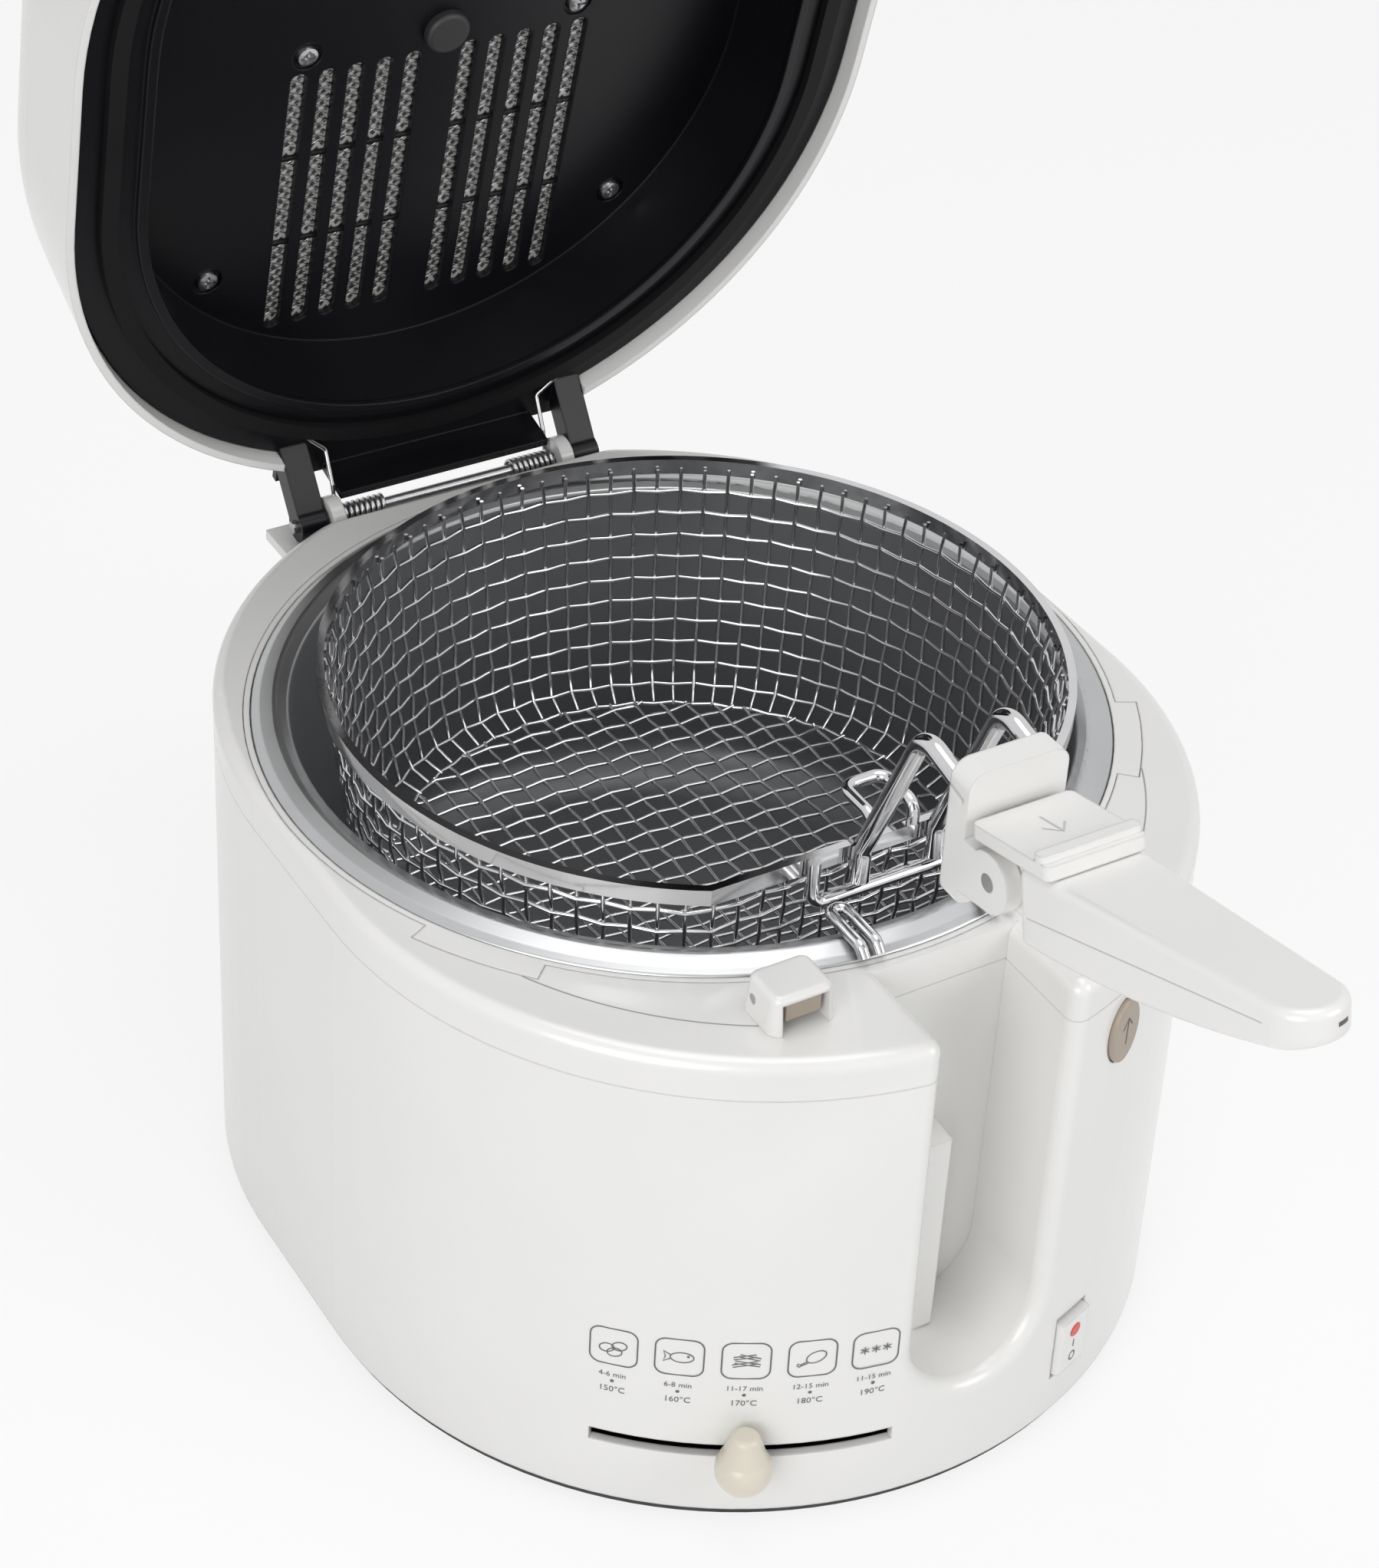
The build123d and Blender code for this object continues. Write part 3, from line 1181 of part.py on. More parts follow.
# Handle bracket: plate with the arms' sockets and two ears for the pin
with BuildPart() as plate:
    with BuildSketch(Plane.XZ.offset(-PLATE_Y)):
        with Locations((HANDLE_X, PLATE_Z - PLATE_H / 2)):
            RectangleRounded(2 * PLATE_HALF, PLATE_H, EAR_T)
    extrude(amount=PLATE_T)
    for side in (-1, 1):
        with BuildSketch(Plane.YZ.offset(HANDLE_X + side * (PLATE_HALF - EAR_T / 2) - EAR_T / 2)):
            with BuildLine():
                Polyline(
                    (PLATE_Y - PLATE_T / 2, PIVOT_Z + EAR_R - EAR_T / 2),
                    (PIVOT_Y, PIVOT_Z + EAR_R - EAR_T / 2),
                    (PIVOT_Y, PIVOT_Z - EAR_R),
                    (PLATE_Y - PLATE_T / 2, PIVOT_Z - EAR_R - EAR_T / 2),
                    close=True,
                )
            make_face()
            with Locations((PIVOT_Y, PIVOT_Z)):
                Circle(EAR_R)
        extrude(amount=EAR_T)
        add(basket_arm(HANDLE_X + side * ARM_HALF, ARM_WIRE + 2 * SOCKET_FIT), mode=Mode.SUBTRACT)
    with BuildSketch(Plane.YZ.offset(HANDLE_X - 2 * PLATE_HALF)):
        with Locations((PIVOT_Y, PIVOT_Z)):
            Circle(PIN_R + PIN_FIT)
        # Bevel at the plate's foot, clear of the underside of the folded grip
        with BuildLine():
            Polyline(
                (PLATE_Y - PLATE_T, PLATE_Z - PLATE_H + PLATE_BEVEL_H),
                (PLATE_Y - PLATE_T, PLATE_Z - PLATE_H),
                (PLATE_Y - PLATE_T + PLATE_BEVEL, PLATE_Z - PLATE_H),
                close=True,
            )
        make_face()
    extrude(amount=4 * PLATE_HALF, mode=Mode.SUBTRACT)
plate.part.label = "handle_bracket"
export_step(plate.part, "parts/handle_bracket.step")

with BuildPart() as pin:
    with BuildSketch(Plane.YZ.offset(HANDLE_X - PLATE_HALF)):
        with Locations((PIVOT_Y, PIVOT_Z)):
            Circle(PIN_R)
    extrude(amount=2 * PLATE_HALF)
pin.part.label = "handle_pin"
export_step(pin.part, "parts/handle_pin.step")

# Grip: tapering boat-shaped bar with a knuckle between the ears
KNUCKLE_HALF = PLATE_HALF - EAR_T - EAR_GAP
TIP_HALF = GRIP_TIP_W / 2
with BuildPart() as grip:
    with BuildSketch(handle_level(-GRIP_ROOT_T)):
        with BuildLine():
            Line((-GRIP_ROOT_W / 2, GRIP_START), (GRIP_ROOT_W / 2, GRIP_START))
            Line((GRIP_ROOT_W / 2, GRIP_START), (TIP_HALF, GRIP_L - TIP_HALF))
            ThreePointArc((TIP_HALF, GRIP_L - TIP_HALF), (0, GRIP_L), (-TIP_HALF, GRIP_L - TIP_HALF))
            Line((-TIP_HALF, GRIP_L - TIP_HALF), (-GRIP_ROOT_W / 2, GRIP_START))
        make_face()
    extrude(amount=GRIP_TOP + GRIP_ROOT_T)
    with BuildSketch(handle_side(GRIP_ROOT_W)):
        with BuildLine():
            Line((0, GRIP_TOP), (2 * GRIP_L, GRIP_TOP))
            Line((2 * GRIP_L, GRIP_TOP), (2 * GRIP_L, GRIP_TOP - GRIP_TIP_T))
            Line((2 * GRIP_L, GRIP_TOP - GRIP_TIP_T), (GRIP_L, GRIP_TOP - GRIP_TIP_T))
            ThreePointArc(
                (GRIP_L, GRIP_TOP - GRIP_TIP_T),
                (0.6 * GRIP_L, GRIP_TOP - 0.88 * GRIP_ROOT_T),
                (0, GRIP_TOP - GRIP_ROOT_T),
            )
            Line((0, GRIP_TOP - GRIP_ROOT_T), (0, GRIP_TOP))
        make_face()
    extrude(amount=2 * GRIP_ROOT_W, mode=Mode.INTERSECT)
    fillet(grip.edges().filter_by(lambda edge: edge.length > GRIP_START), radius=GRIP_ROUND)
    with BuildSketch(handle_side(KNUCKLE_HALF)):
        Circle(KNUCKLE_R)
        with Locations((GRIP_START / 2 + GRIP_ROUND, 0)):
            Rectangle(GRIP_START + 2 * GRIP_ROUND, 2 * KNUCKLE_R)
    extrude(amount=2 * KNUCKLE_HALF)
    with BuildSketch(handle_side(PLATE_HALF)):
        Circle(PIN_R + PIN_FIT)
    extrude(amount=2 * PLATE_HALF, mode=Mode.SUBTRACT)
grip.part.label = "handle_grip"
export_step(grip.part, "parts/handle_grip.step")

with BuildPart() as lock:
    with BuildSketch(handle_level(GRIP_TOP + LOCK_FIT)):
        with Locations((0, LOCK_L / 2 - LOCK_BACK)):
            RectangleRounded(LOCK_W, LOCK_L, LOCK_T / 2)
    extrude(amount=LOCK_T)
    with BuildSketch(handle_level(GRIP_TOP + LOCK_FIT + LOCK_T)):
        with Locations((0, LOCK_L - LOCK_BACK - LOCK_T)):
            RectangleRounded(LOCK_W, LOCK_T, LOCK_T / 3)
    extrude(amount=LOCK_T / 2)
lock.part.label = "handle_lock"
export_step(lock.part, "parts/handle_lock.step")

# Wiring parts under the bowl
with BuildPart() as terminal_block:
    with BuildSketch(Plane.XY.offset(SHELL_Z)):
        with Locations((FOOT_X - BLOCK_W, FOOT_REAR_Y - BLOCK_L)):
            Rectangle(BLOCK_L, BLOCK_W)
    extrude(amount=BLOCK_W)
terminal_block.part.label = "terminal_block"
export_step(terminal_block.part, "parts/terminal_block.step")

with BuildPart() as fuse:
    with BuildSketch(Plane.XY.offset(BOWL_FLOOR_Z - BOWL_T - FUSE_T)):
        with Locations((0, ELEMENT_R / 3)):
            Rectangle(BLOCK_L, FUSE_T * 2)
    extrude(amount=FUSE_T)
fuse.part.label = "thermal_fuse"
export_step(fuse.part, "parts/thermal_fuse.step")
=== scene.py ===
"""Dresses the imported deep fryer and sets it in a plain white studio."""

import logging
import math
from dataclasses import dataclass
from enum import Enum
from typing import Any, Callable, ClassVar, Iterable, Sequence

import bmesh
import bpy
from mathutils import Matrix, Vector


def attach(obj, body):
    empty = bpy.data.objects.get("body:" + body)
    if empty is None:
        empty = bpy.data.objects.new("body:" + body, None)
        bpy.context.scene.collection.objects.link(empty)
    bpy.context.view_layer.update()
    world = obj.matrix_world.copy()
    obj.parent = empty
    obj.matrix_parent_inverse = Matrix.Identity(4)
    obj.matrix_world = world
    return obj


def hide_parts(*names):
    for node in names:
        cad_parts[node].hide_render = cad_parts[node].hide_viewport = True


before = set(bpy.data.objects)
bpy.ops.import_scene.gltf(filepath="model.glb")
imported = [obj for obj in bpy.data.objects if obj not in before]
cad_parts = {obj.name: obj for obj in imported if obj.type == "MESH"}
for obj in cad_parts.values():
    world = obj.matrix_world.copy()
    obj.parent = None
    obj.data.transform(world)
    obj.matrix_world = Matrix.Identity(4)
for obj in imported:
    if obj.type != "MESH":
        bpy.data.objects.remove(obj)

LOG = logging.getLogger("deep_fryer")
MM = 0.001
# Height of a flat mark over its face, in millimetres.
MARK_LIFT = 0.05
# Colour sockets of the mix node, whose names its other types share.
MIX_A, MIX_B, MIX_RESULT = 6, 7, 2
# Scale of a wave texture that has one wave per unit of length.
WAVE_SCALE = 0.314
# Height of a figure, as a share of its type size.
FIGURE_SHARE = 0.7
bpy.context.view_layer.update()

Point2 = tuple[float, float]
Point3 = tuple[float, float, float]
Stroke = tuple[Point2, ...]
Place = Callable[[float, float], Vector]


class Body(Enum):
    """Moving bodies that pieces ride on."""

    BASE = "base"
    LID = "lid"
    BASKET = "basket"
    GRIP = "grip"
    LOCK = "lock"
    BUTTON = "button"
    ROCKER = "rocker_body"


class Slot(Enum):
    """Material slots of the record that new pieces take their finish from."""

    WHITE = "white_gloss"
    DARK = "dark_plastic"
    STEEL = "steel"
    CHROME = "chrome_wire"
    TAUPE = "taupe_plastic"


def feed(tree: bpy.types.NodeTree, node: bpy.types.Node, inputs: dict[str | int, Any]) -> None:
    """Fills a node's inputs.

    Args:
        tree: Tree that holds the node.
        node: The node.
        inputs: For each input, its value or the socket that leads to it.
    """
    for key, value in inputs.items():
        if isinstance(value, bpy.types.NodeSocket):
            tree.links.new(value, node.inputs[key])
        else:
            node.inputs[key].default_value = value


def add_node(tree: bpy.types.NodeTree, kind: str, inputs: dict[str | int, Any] | None = None,
             **settings: str | int) -> bpy.types.Node:
    """Adds a node to a tree.

    Args:
        tree: Tree to add to.
        kind: Type of the node.
        inputs: For each input, its value or the socket that leads to it.
        settings: The node's own properties.

    Returns:
        The new node.
    """
    node = tree.nodes.new(kind)
    for name, value in settings.items():
        setattr(node, name, value)
    feed(tree, node, inputs or {})
    return node


@dataclass(frozen=True)
class Finish:
    """One surface finish, as a node material with mottling, uneven gloss and a fine bump.

    Attributes:
        name: Name of the material.
        color: Linear base colour.
        roughness: Mean roughness.
        metallic: 1 for metal, 0 otherwise.
        coat: Strength of the clear coat.
        mottle: How far the colour drifts, as a share of itself.
        cloud: Frequency of that drift, per metre.
        uneven: How far the roughness drifts either way.
        grain: Frequency of the bump, per metre.
        depth: Depth of the bump in metres.
        edge: Radius by which sharp edges are softened, in metres.
        specular: Strength of the mirror-like share of the shine.
    """

    name: str
    color: Point3
    roughness: float
    metallic: float = 0.0
    coat: float = 0.0
    mottle: float = 0.03
    cloud: float = 25.0
    uneven: float = 0.04
    grain: float = 900.0
    depth: float = 0.00001
    edge: float = 0.0
    specular: float = 0.5

    def material(self) -> bpy.types.Material:
        """Returns the finish's material, made on its first use."""
        return bpy.data.materials.get(self.name) or self._build()

    def _build(self) -> bpy.types.Material:
        """Builds the node tree.

        Returns:
            The new material.
        """
        mat = bpy.data.materials.new(self.name)
        mat.use_nodes = True
        tree = mat.node_tree
        place = add_node(tree, "ShaderNodeTexCoord").outputs["Object"]
        drift = {"Vector": place, "Scale": self.cloud, "Detail": 4.0}
        cloud = add_node(tree, "ShaderNodeTexNoise", drift).outputs["Fac"]
        tint = add_node(tree, "ShaderNodeValToRGB", {"Fac": cloud})
        low, high = tint.color_ramp.elements
        low.position, low.color = 0.3, (*(c * (1.0 - self.mottle) for c in self.color), 1.0)
        high.position, high.color = 0.7, (*self.color, 1.0)
        least, most = max(0.02, self.roughness - self.uneven), self.roughness + self.uneven
        gloss = add_node(tree, "ShaderNodeMapRange", {"Value": cloud, "To Min": least, "To Max": most})
        fine = add_node(tree, "ShaderNodeTexNoise", {"Vector": place, "Scale": self.grain, "Detail": 2.0})
        relief = {"Strength": 0.6, "Distance": self.depth, "Height": fine.outputs["Fac"]}
        bump = add_node(tree, "ShaderNodeBump", relief)
        if self.edge:
            soft = add_node(tree, "ShaderNodeBevel", {"Radius": self.edge}, samples=4)
            feed(tree, bump, {"Normal": soft.outputs["Normal"]})
        feed(tree, tree.nodes["Principled BSDF"], {
            "Base Color": self._tinted(tree, place, tint.outputs["Color"]), "Roughness": gloss.outputs["Result"],
            "Metallic": self.metallic, "Specular IOR Level": self.specular, "Coat Weight": self.coat,
            "Coat Roughness": 0.08, "Normal": bump.outputs["Normal"],
        })
        return mat

    def _tinted(self, tree: bpy.types.NodeTree, place: bpy.types.NodeSocket,
                color: bpy.types.NodeSocket) -> bpy.types.NodeSocket:
        """Returns the colour for the shader, with the finish's own pattern worked in."""
        return color


@dataclass(frozen=True)
class BowlFinish(Finish):
    """Satin metal with a grey non-stick coat inside a radius.

    Attributes:
        coat_color: Linear colour of the non-stick coat.
        coat_radius: Radius inside which the coat lies, in metres.
        coat_fade: Half the width of the coat's edge, in metres.
        coat_metal: How metallic the coat looks.
    """

    coat_color: Point3 = (0.2, 0.205, 0.21)
    coat_radius: float = 0.1123
    coat_fade: float = 0.0003
    coat_metal: float = 0.35

    def _tinted(self, tree: bpy.types.NodeTree, place: bpy.types.NodeSocket,
                color: bpy.types.NodeSocket) -> bpy.types.NodeSocket:
        """Lays the coat over the metal inside its radius.

        Args:
            tree: The material's tree.
            place: Socket of the place on the object.
            color: Socket of the mottled colour.

        Returns:
            Socket of the colour for the shader.
        """
        flat = add_node(tree, "ShaderNodeVectorMath", {0: place, 1: (1.0, 1.0, 0.0)}, operation="MULTIPLY")
        reach = add_node(tree, "ShaderNodeVectorMath", {0: flat.outputs["Vector"]}, operation="LENGTH")
        edge = {
            "Value": reach.outputs["Value"],
            "From Min": self.coat_radius + self.coat_fade, "From Max": self.coat_radius - self.coat_fade,
        }
        coated = add_node(tree, "ShaderNodeMapRange", edge).outputs["Result"]
        metal = add_node(tree, "ShaderNodeMapRange", {"Value": coated, "To Min": 1.0, "To Max": self.coat_metal})
        feed(tree, tree.nodes["Principled BSDF"], {"Metallic": metal.outputs["Result"]})
        both = {"Factor": coated, MIX_A: color, MIX_B: (*self.coat_color, 1.0)}
        return add_node(tree, "ShaderNodeMix", both, data_type="RGBA").outputs[MIX_RESULT]


@dataclass(frozen=True)
class GauzeFinish(Finish):
    """Knitted metal gauze: crossing waves of bright wire over dark gaps.

    Attributes:
        pitch: Distance from wave to wave, in metres.
        slant: Angle of the waves, in degrees.
        gap_shade: Brightness of the gaps.
    """

    pitch: float = 0.0026
    slant: float = 38.0
    gap_shade: float = 0.10

    def _tinted(self, tree: bpy.types.NodeTree, place: bpy.types.NodeSocket,
                color: bpy.types.NodeSocket) -> bpy.types.NodeSocket:
        """Darkens the gaps between the crossing wires.

        Args:
            tree: The material's tree.
            place: Socket of the place on the object.
            color: Socket of the mottled colour.

        Returns:
            Socket of the colour for the shader.
        """
        waves = []
        for slant in (self.slant, -self.slant):
            lay = add_node(tree, "ShaderNodeMapping", {"Vector": place, "Rotation": (0.0, math.radians(slant), 0.0)})
            shape = {"Scale": WAVE_SCALE / self.pitch, "Distortion": 1.2, "Detail Scale": 2.0}
            wave = add_node(tree, "ShaderNodeTexWave", {"Vector": lay.outputs["Vector"], **shape})
            waves.append(wave.outputs["Fac"])
        top = add_node(tree, "ShaderNodeMath", dict(enumerate(waves)), operation="MAXIMUM")
        ramp = add_node(tree, "ShaderNodeValToRGB", {"Fac": top.outputs["Value"]})
        gap, wire = ramp.color_ramp.elements
        gap.position, gap.color = 0.45, (self.gap_shade, self.gap_shade, self.gap_shade, 1.0)
        wire.position = 0.75
        both = {"Factor": 1.0, MIX_A: color, MIX_B: ramp.outputs["Color"]}
        return add_node(tree, "ShaderNodeMix", both, data_type="RGBA", blend_type="MULTIPLY").outputs[MIX_RESULT]


WHITE = Finish("white_moulding", (0.80, 0.795, 0.78), 0.22, coat=0.3, mottle=0.02, depth=0.000004, edge=0.0009)
BLACK = Finish("lid_lining", (0.004, 0.004, 0.006), 0.33, mottle=0.2, grain=1500.0, edge=0.0009, specular=0.28)
DARK = Finish("dark_moulding", (0.03, 0.03, 0.032), 0.5, mottle=0.2, grain=1300.0, depth=0.00002, edge=0.0004)
RUBBER = Finish("soft_rubber", (0.008, 0.008, 0.009), 0.6, mottle=0.25, grain=800.0, depth=0.00003, specular=0.16)
BOWL = BowlFinish("rolled_aluminium", (0.46, 0.465, 0.47), 0.34, 1.0, mottle=0.05, cloud=60.0)
SHEET = Finish("sheet_aluminium", (0.55, 0.55, 0.56), 0.4, 1.0, mottle=0.1, cloud=60.0)
CHROME = Finish("chromed_wire", (0.62, 0.62, 0.63), 0.09, 1.0, mottle=0.06, cloud=90.0, uneven=0.03)
STEEL = Finish("plain_steel", (0.50, 0.50, 0.51), 0.28, 1.0, mottle=0.12, cloud=120.0, uneven=0.06)
GAUZE = GauzeFinish("knitted_gauze", (0.75, 0.74, 0.72), 0.35, 0.3, mottle=0.2, cloud=200.0)
TAUPE = Finish("taupe_moulding", (0.38, 0.32, 0.26), 0.4, mottle=0.06, edge=0.0006)
CREAM = Finish("cream_moulding", (0.70, 0.65, 0.55), 0.3, coat=0.25, mottle=0.04, edge=0.0012)
LENS = Finish("red_lens", (0.45, 0.01, 0.01), 0.15, coat=0.6, mottle=0.2, cloud=300.0)
PRINT = Finish("grey_print", (0.13, 0.13, 0.14), 0.45, mottle=0.1, cloud=200.0)
# Dark brown of the painted shade inside engraved marks and hollows.
RECESS_SHADE = Finish("painted_recess_shade", (0.12, 0.09, 0.07), 0.5, mottle=0.1)
# Grey of the painted shade in the deck's seam.
SEAM_SHADE = Finish("seam_shadow", (0.36, 0.36, 0.355), 0.6, mottle=0.1)
# Grey of the painted shade that shows a raised mark or ridge on white plastic.
RELIEF_SHADE = Finish("painted_relief_shade", (0.55, 0.55, 0.54), 0.35, mottle=0.05)


def new_object(name: str, data: bpy.types.ID) -> bpy.types.Object:
    """Links new data into the scene.

    Args:
        name: Name of the object.
        data: Its mesh, curve, lamp or camera.

    Returns:
        The new object, at the origin.
    """
    obj = bpy.data.objects.new(name, data)
    bpy.context.scene.collection.objects.link(obj)
    return obj


def plain_mesh(obj: bpy.types.Object) -> bpy.types.Mesh:
    """Returns the mesh that an object's curve or modifiers come to."""
    bpy.context.view_layer.update()
    return bpy.data.meshes.new_from_object(obj.evaluated_get(bpy.context.evaluated_depsgraph_get()))


def settle(obj: bpy.types.Object) -> None:
    """Turns an object's modifiers into its plain mesh.

    Args:
        obj: The object.
    """
    data = plain_mesh(obj)
    obj.modifiers.clear()
    obj.data = data


def seat(piece: bpy.types.Object, body: Body, stands_for: str | None = None) -> bpy.types.Object:
    """Says where a new piece belongs.

    Args:
        piece: The piece.
        body: Body that it rides on.
        stands_for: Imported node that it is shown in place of.

    Returns:
        The piece.
    """
    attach(piece, body.value)
    if stands_for:
        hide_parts(stands_for)
    return piece


class NodeTool:
    """Geometry nodes with named inputs, run on points and edges to make a finished piece."""

    def __init__(self, name: str, inputs: dict[str, str]) -> None:
        """Starts the tree.

        Args:
            name: Name of the tree.
            inputs: Socket type of each named input, apart from the mesh and the finish.
        """
        self.tree = bpy.data.node_groups.new(name, "GeometryNodeTree")
        self.sockets: dict[str, str] = {}
        for label, kind in {"Mesh": "Geometry", **inputs, "Finish": "Material"}.items():
            socket = self.tree.interface.new_socket(name=label, in_out="INPUT", socket_type=f"NodeSocket{kind}")
            self.sockets[label] = socket.identifier
        self.tree.interface.new_socket(name="Piece", in_out="OUTPUT", socket_type="NodeSocketGeometry")
        self.given = add_node(self.tree, "NodeGroupInput").outputs

    def close(self, shape: bpy.types.NodeSocket) -> None:
        """Ends the tree with real geometry in its finish.

        Args:
            shape: Socket of the geometry.
        """
        real = add_node(self.tree, "GeometryNodeRealizeInstances", {"Geometry": shape})
        painted = {"Geometry": real.outputs["Geometry"], "Material": self.given["Finish"]}
        paint = add_node(self.tree, "GeometryNodeSetMaterial", painted)
        add_node(self.tree, "NodeGroupOutput", {"Piece": paint.outputs["Geometry"]})

    def run(self, name: str, points: Sequence[Point3], edges: Sequence[tuple[int, int]], finish: Finish,
            values: dict[str, Any]) -> bpy.types.Object:
        """Makes one piece.

        Args:
            name: Name of the piece.
            points: Points in millimetres.
            edges: Edges between the points.
            finish: Finish of the piece.
            values: Values of the other named inputs.

        Returns:
            The finished piece.
        """
        data = bpy.data.meshes.new(name)
        data.from_pydata([tuple(c * MM for c in point) for point in points], edges, [])
        obj = new_object(name, data)
        change = obj.modifiers.new(self.tree.name, "NODES")
        change.node_group = self.tree
        for label, value in {**values, "Finish": finish.material()}.items():
            change[self.sockets[label]] = value
        settle(obj)
        return obj


class WireTool(NodeTool):
    """Makes round wire along routes."""

    def __init__(self) -> None:
        """Builds the tree."""
        super().__init__("round_wire", {"Wire radius": "Float", "Bend radius": "Float", "Sides": "Int"})
        curve = add_node(self.tree, "GeometryNodeMeshToCurve", {"Mesh": self.given["Mesh"]})
        bends = {"Curve": curve.outputs["Curve"], "Radius": self.given["Bend radius"], "Count": 6}
        turn = add_node(self.tree, "GeometryNodeFilletCurve", bends, mode="POLY")
        section = {"Resolution": self.given["Sides"], "Radius": self.given["Wire radius"]}
        ring = add_node(self.tree, "GeometryNodeCurvePrimitiveCircle", section)
        tube = {"Curve": turn.outputs["Curve"], "Profile Curve": ring.outputs["Curve"], "Fill Caps": True}
        self.close(add_node(self.tree, "GeometryNodeCurveToMesh", tube).outputs["Mesh"])

    def make(self, name: str, routes: Iterable[Sequence[Point3]], radius: float, finish: Finish,
             closed: bool = False, bend: float = 0.0, sides: int = 6) -> bpy.types.Object:
        """Makes one piece of wire.

        Args:
            name: Name of the piece.
            routes: Points of each run of wire, in millimetres.
            radius: Radius of the wire.
            finish: Finish of the wire.
            closed: Whether each run closes on itself.
            bend: Radius of the bends at the points.
            sides: Number of sides of the round section.

        Returns:
            The finished piece.
        """
        points: list[Point3] = []
        edges: list[tuple[int, int]] = []
        for route in routes:
            start = len(points)
            points.extend(route)
            edges.extend((i, i + 1) for i in range(start, len(points) - 1))
            if closed:
                edges.append((len(points) - 1, start))
        values = {"Wire radius": radius * MM, "Bend radius": bend * MM, "Sides": sides}
        obj = self.run(name, points, edges, finish, values)
        obj.data.polygons.foreach_set("use_smooth", [True] * len(obj.data.polygons))
        return obj


class ScatterTool(NodeTool):
    """Sets one source piece on many spots."""

    def __init__(self) -> None:
        """Builds the tree."""
        super().__init__("set_on_points", {"Source": "Object", "Turn": "Rotation"})
        info = add_node(self.tree, "GeometryNodeObjectInfo", {"Object": self.given["Source"], "As Instance": True})
        spread = {"Points": self.given["Mesh"], "Instance": info.outputs["Geometry"], "Rotation": self.given["Turn"]}
        self.close(add_node(self.tree, "GeometryNodeInstanceOnPoints", spread).outputs["Instances"])


@dataclass
class Kit:
    """Node trees that the assemblies share.

    Attributes:
        wires: Makes round wire along routes.
        scatter: Sets one piece on many spots.
    """

    wires: WireTool
    scatter: ScatterTool


def ribbon(mesh: bmesh.types.BMesh, points: Sequence[Point2], width: float, place: Place,
           closed: bool = False) -> None:
    """Adds a flat line of a width along points.

    Args:
        mesh: Mesh to add to.
        points: Points in the mark's own plane.
        width: Width of the line.
        place: Gives the place of a plane point.
        closed: Whether the line closes.
    """
    pts = [Vector(p) for p in points]
    count = len(pts)
    pairs = []
    for i, p in enumerate(pts):
        before = pts[i - 1] if (i or closed) else p
        after = pts[(i + 1) % count] if (i < count - 1 or closed) else p
        run = (after - before).normalized()
        side = Vector((-run.y, run.x)) * width / 2
        pairs.append([mesh.verts.new(place(*(p + side))), mesh.verts.new(place(*(p - side)))])
    for i in range(count if closed else count - 1):
        a, b = pairs[i], pairs[(i + 1) % count]
        mesh.faces.new((a[0], a[1], b[1], b[0]))


def draw(strokes: Iterable[Sequence[Point2]], width: float, place: Place) -> bmesh.types.BMesh:
    """Draws open strokes.

    Args:
        strokes: Points of each stroke in the mark's own plane.
        width: Width of the strokes.
        place: Gives the place of a plane point.

    Returns:
        A mesh of flat lines.
    """
    mesh = bmesh.new()
    for points in strokes:
        ribbon(mesh, points, width, place)
    return mesh


def ellipse(cx: float, cy: float, rx: float, ry: float, tilt: float = 0.0, count: int = 28) -> list[Point2]:
    """Lays points round a tilted ellipse.

    Args:
        cx: Its middle, to the side.
        cy: Its middle, upward.
        rx: Half its width.
        ry: Half its height.
        tilt: Its tilt in degrees.
        count: Number of points.

    Returns:
        The points.
    """
    c, s = math.cos(math.radians(tilt)), math.sin(math.radians(tilt))
    turns = [2 * math.pi * i / count for i in range(count)]
    return [(cx + rx * math.cos(t) * c - ry * math.sin(t) * s,
             cy + rx * math.cos(t) * s + ry * math.sin(t) * c) for t in turns]


def arc(radius: float, start: float, end: float, centre: Point2 = (0.0, 0.0), count: int = 40) -> list[Point2]:
    """Returns points along an arc between two angles in degrees."""
    turns = [math.radians(start + (end - start) * i / count) for i in range(count + 1)]
    return [(centre[0] + radius * math.cos(t), centre[1] + radius * math.sin(t)) for t in turns]


def mark_piece(name: str, mesh: bmesh.types.BMesh, finish: Finish, body: Body,
               outward: Callable[[Vector], Vector]) -> bpy.types.Object:
    """Makes a piece of the flat lines in a mesh, with every face turned outward.

    Args:
        name: Name of the piece.
        mesh: The lines, in millimetres.
        finish: Their finish.
        body: Body that they ride on.
        outward: Gives the outward direction at a place.

    Returns:
        The finished piece.
    """
    mesh.normal_update()
    wrong = [f for f in mesh.faces if f.normal.dot(outward(f.calc_center_median())) < 0]
    bmesh.ops.reverse_faces(mesh, faces=wrong)
    data = bpy.data.meshes.new(name)
    mesh.to_mesh(data)
    mesh.free()
    data.transform(Matrix.Scale(MM, 4))
    data.materials.append(finish.material())
    return seat(new_object(name, data), body)


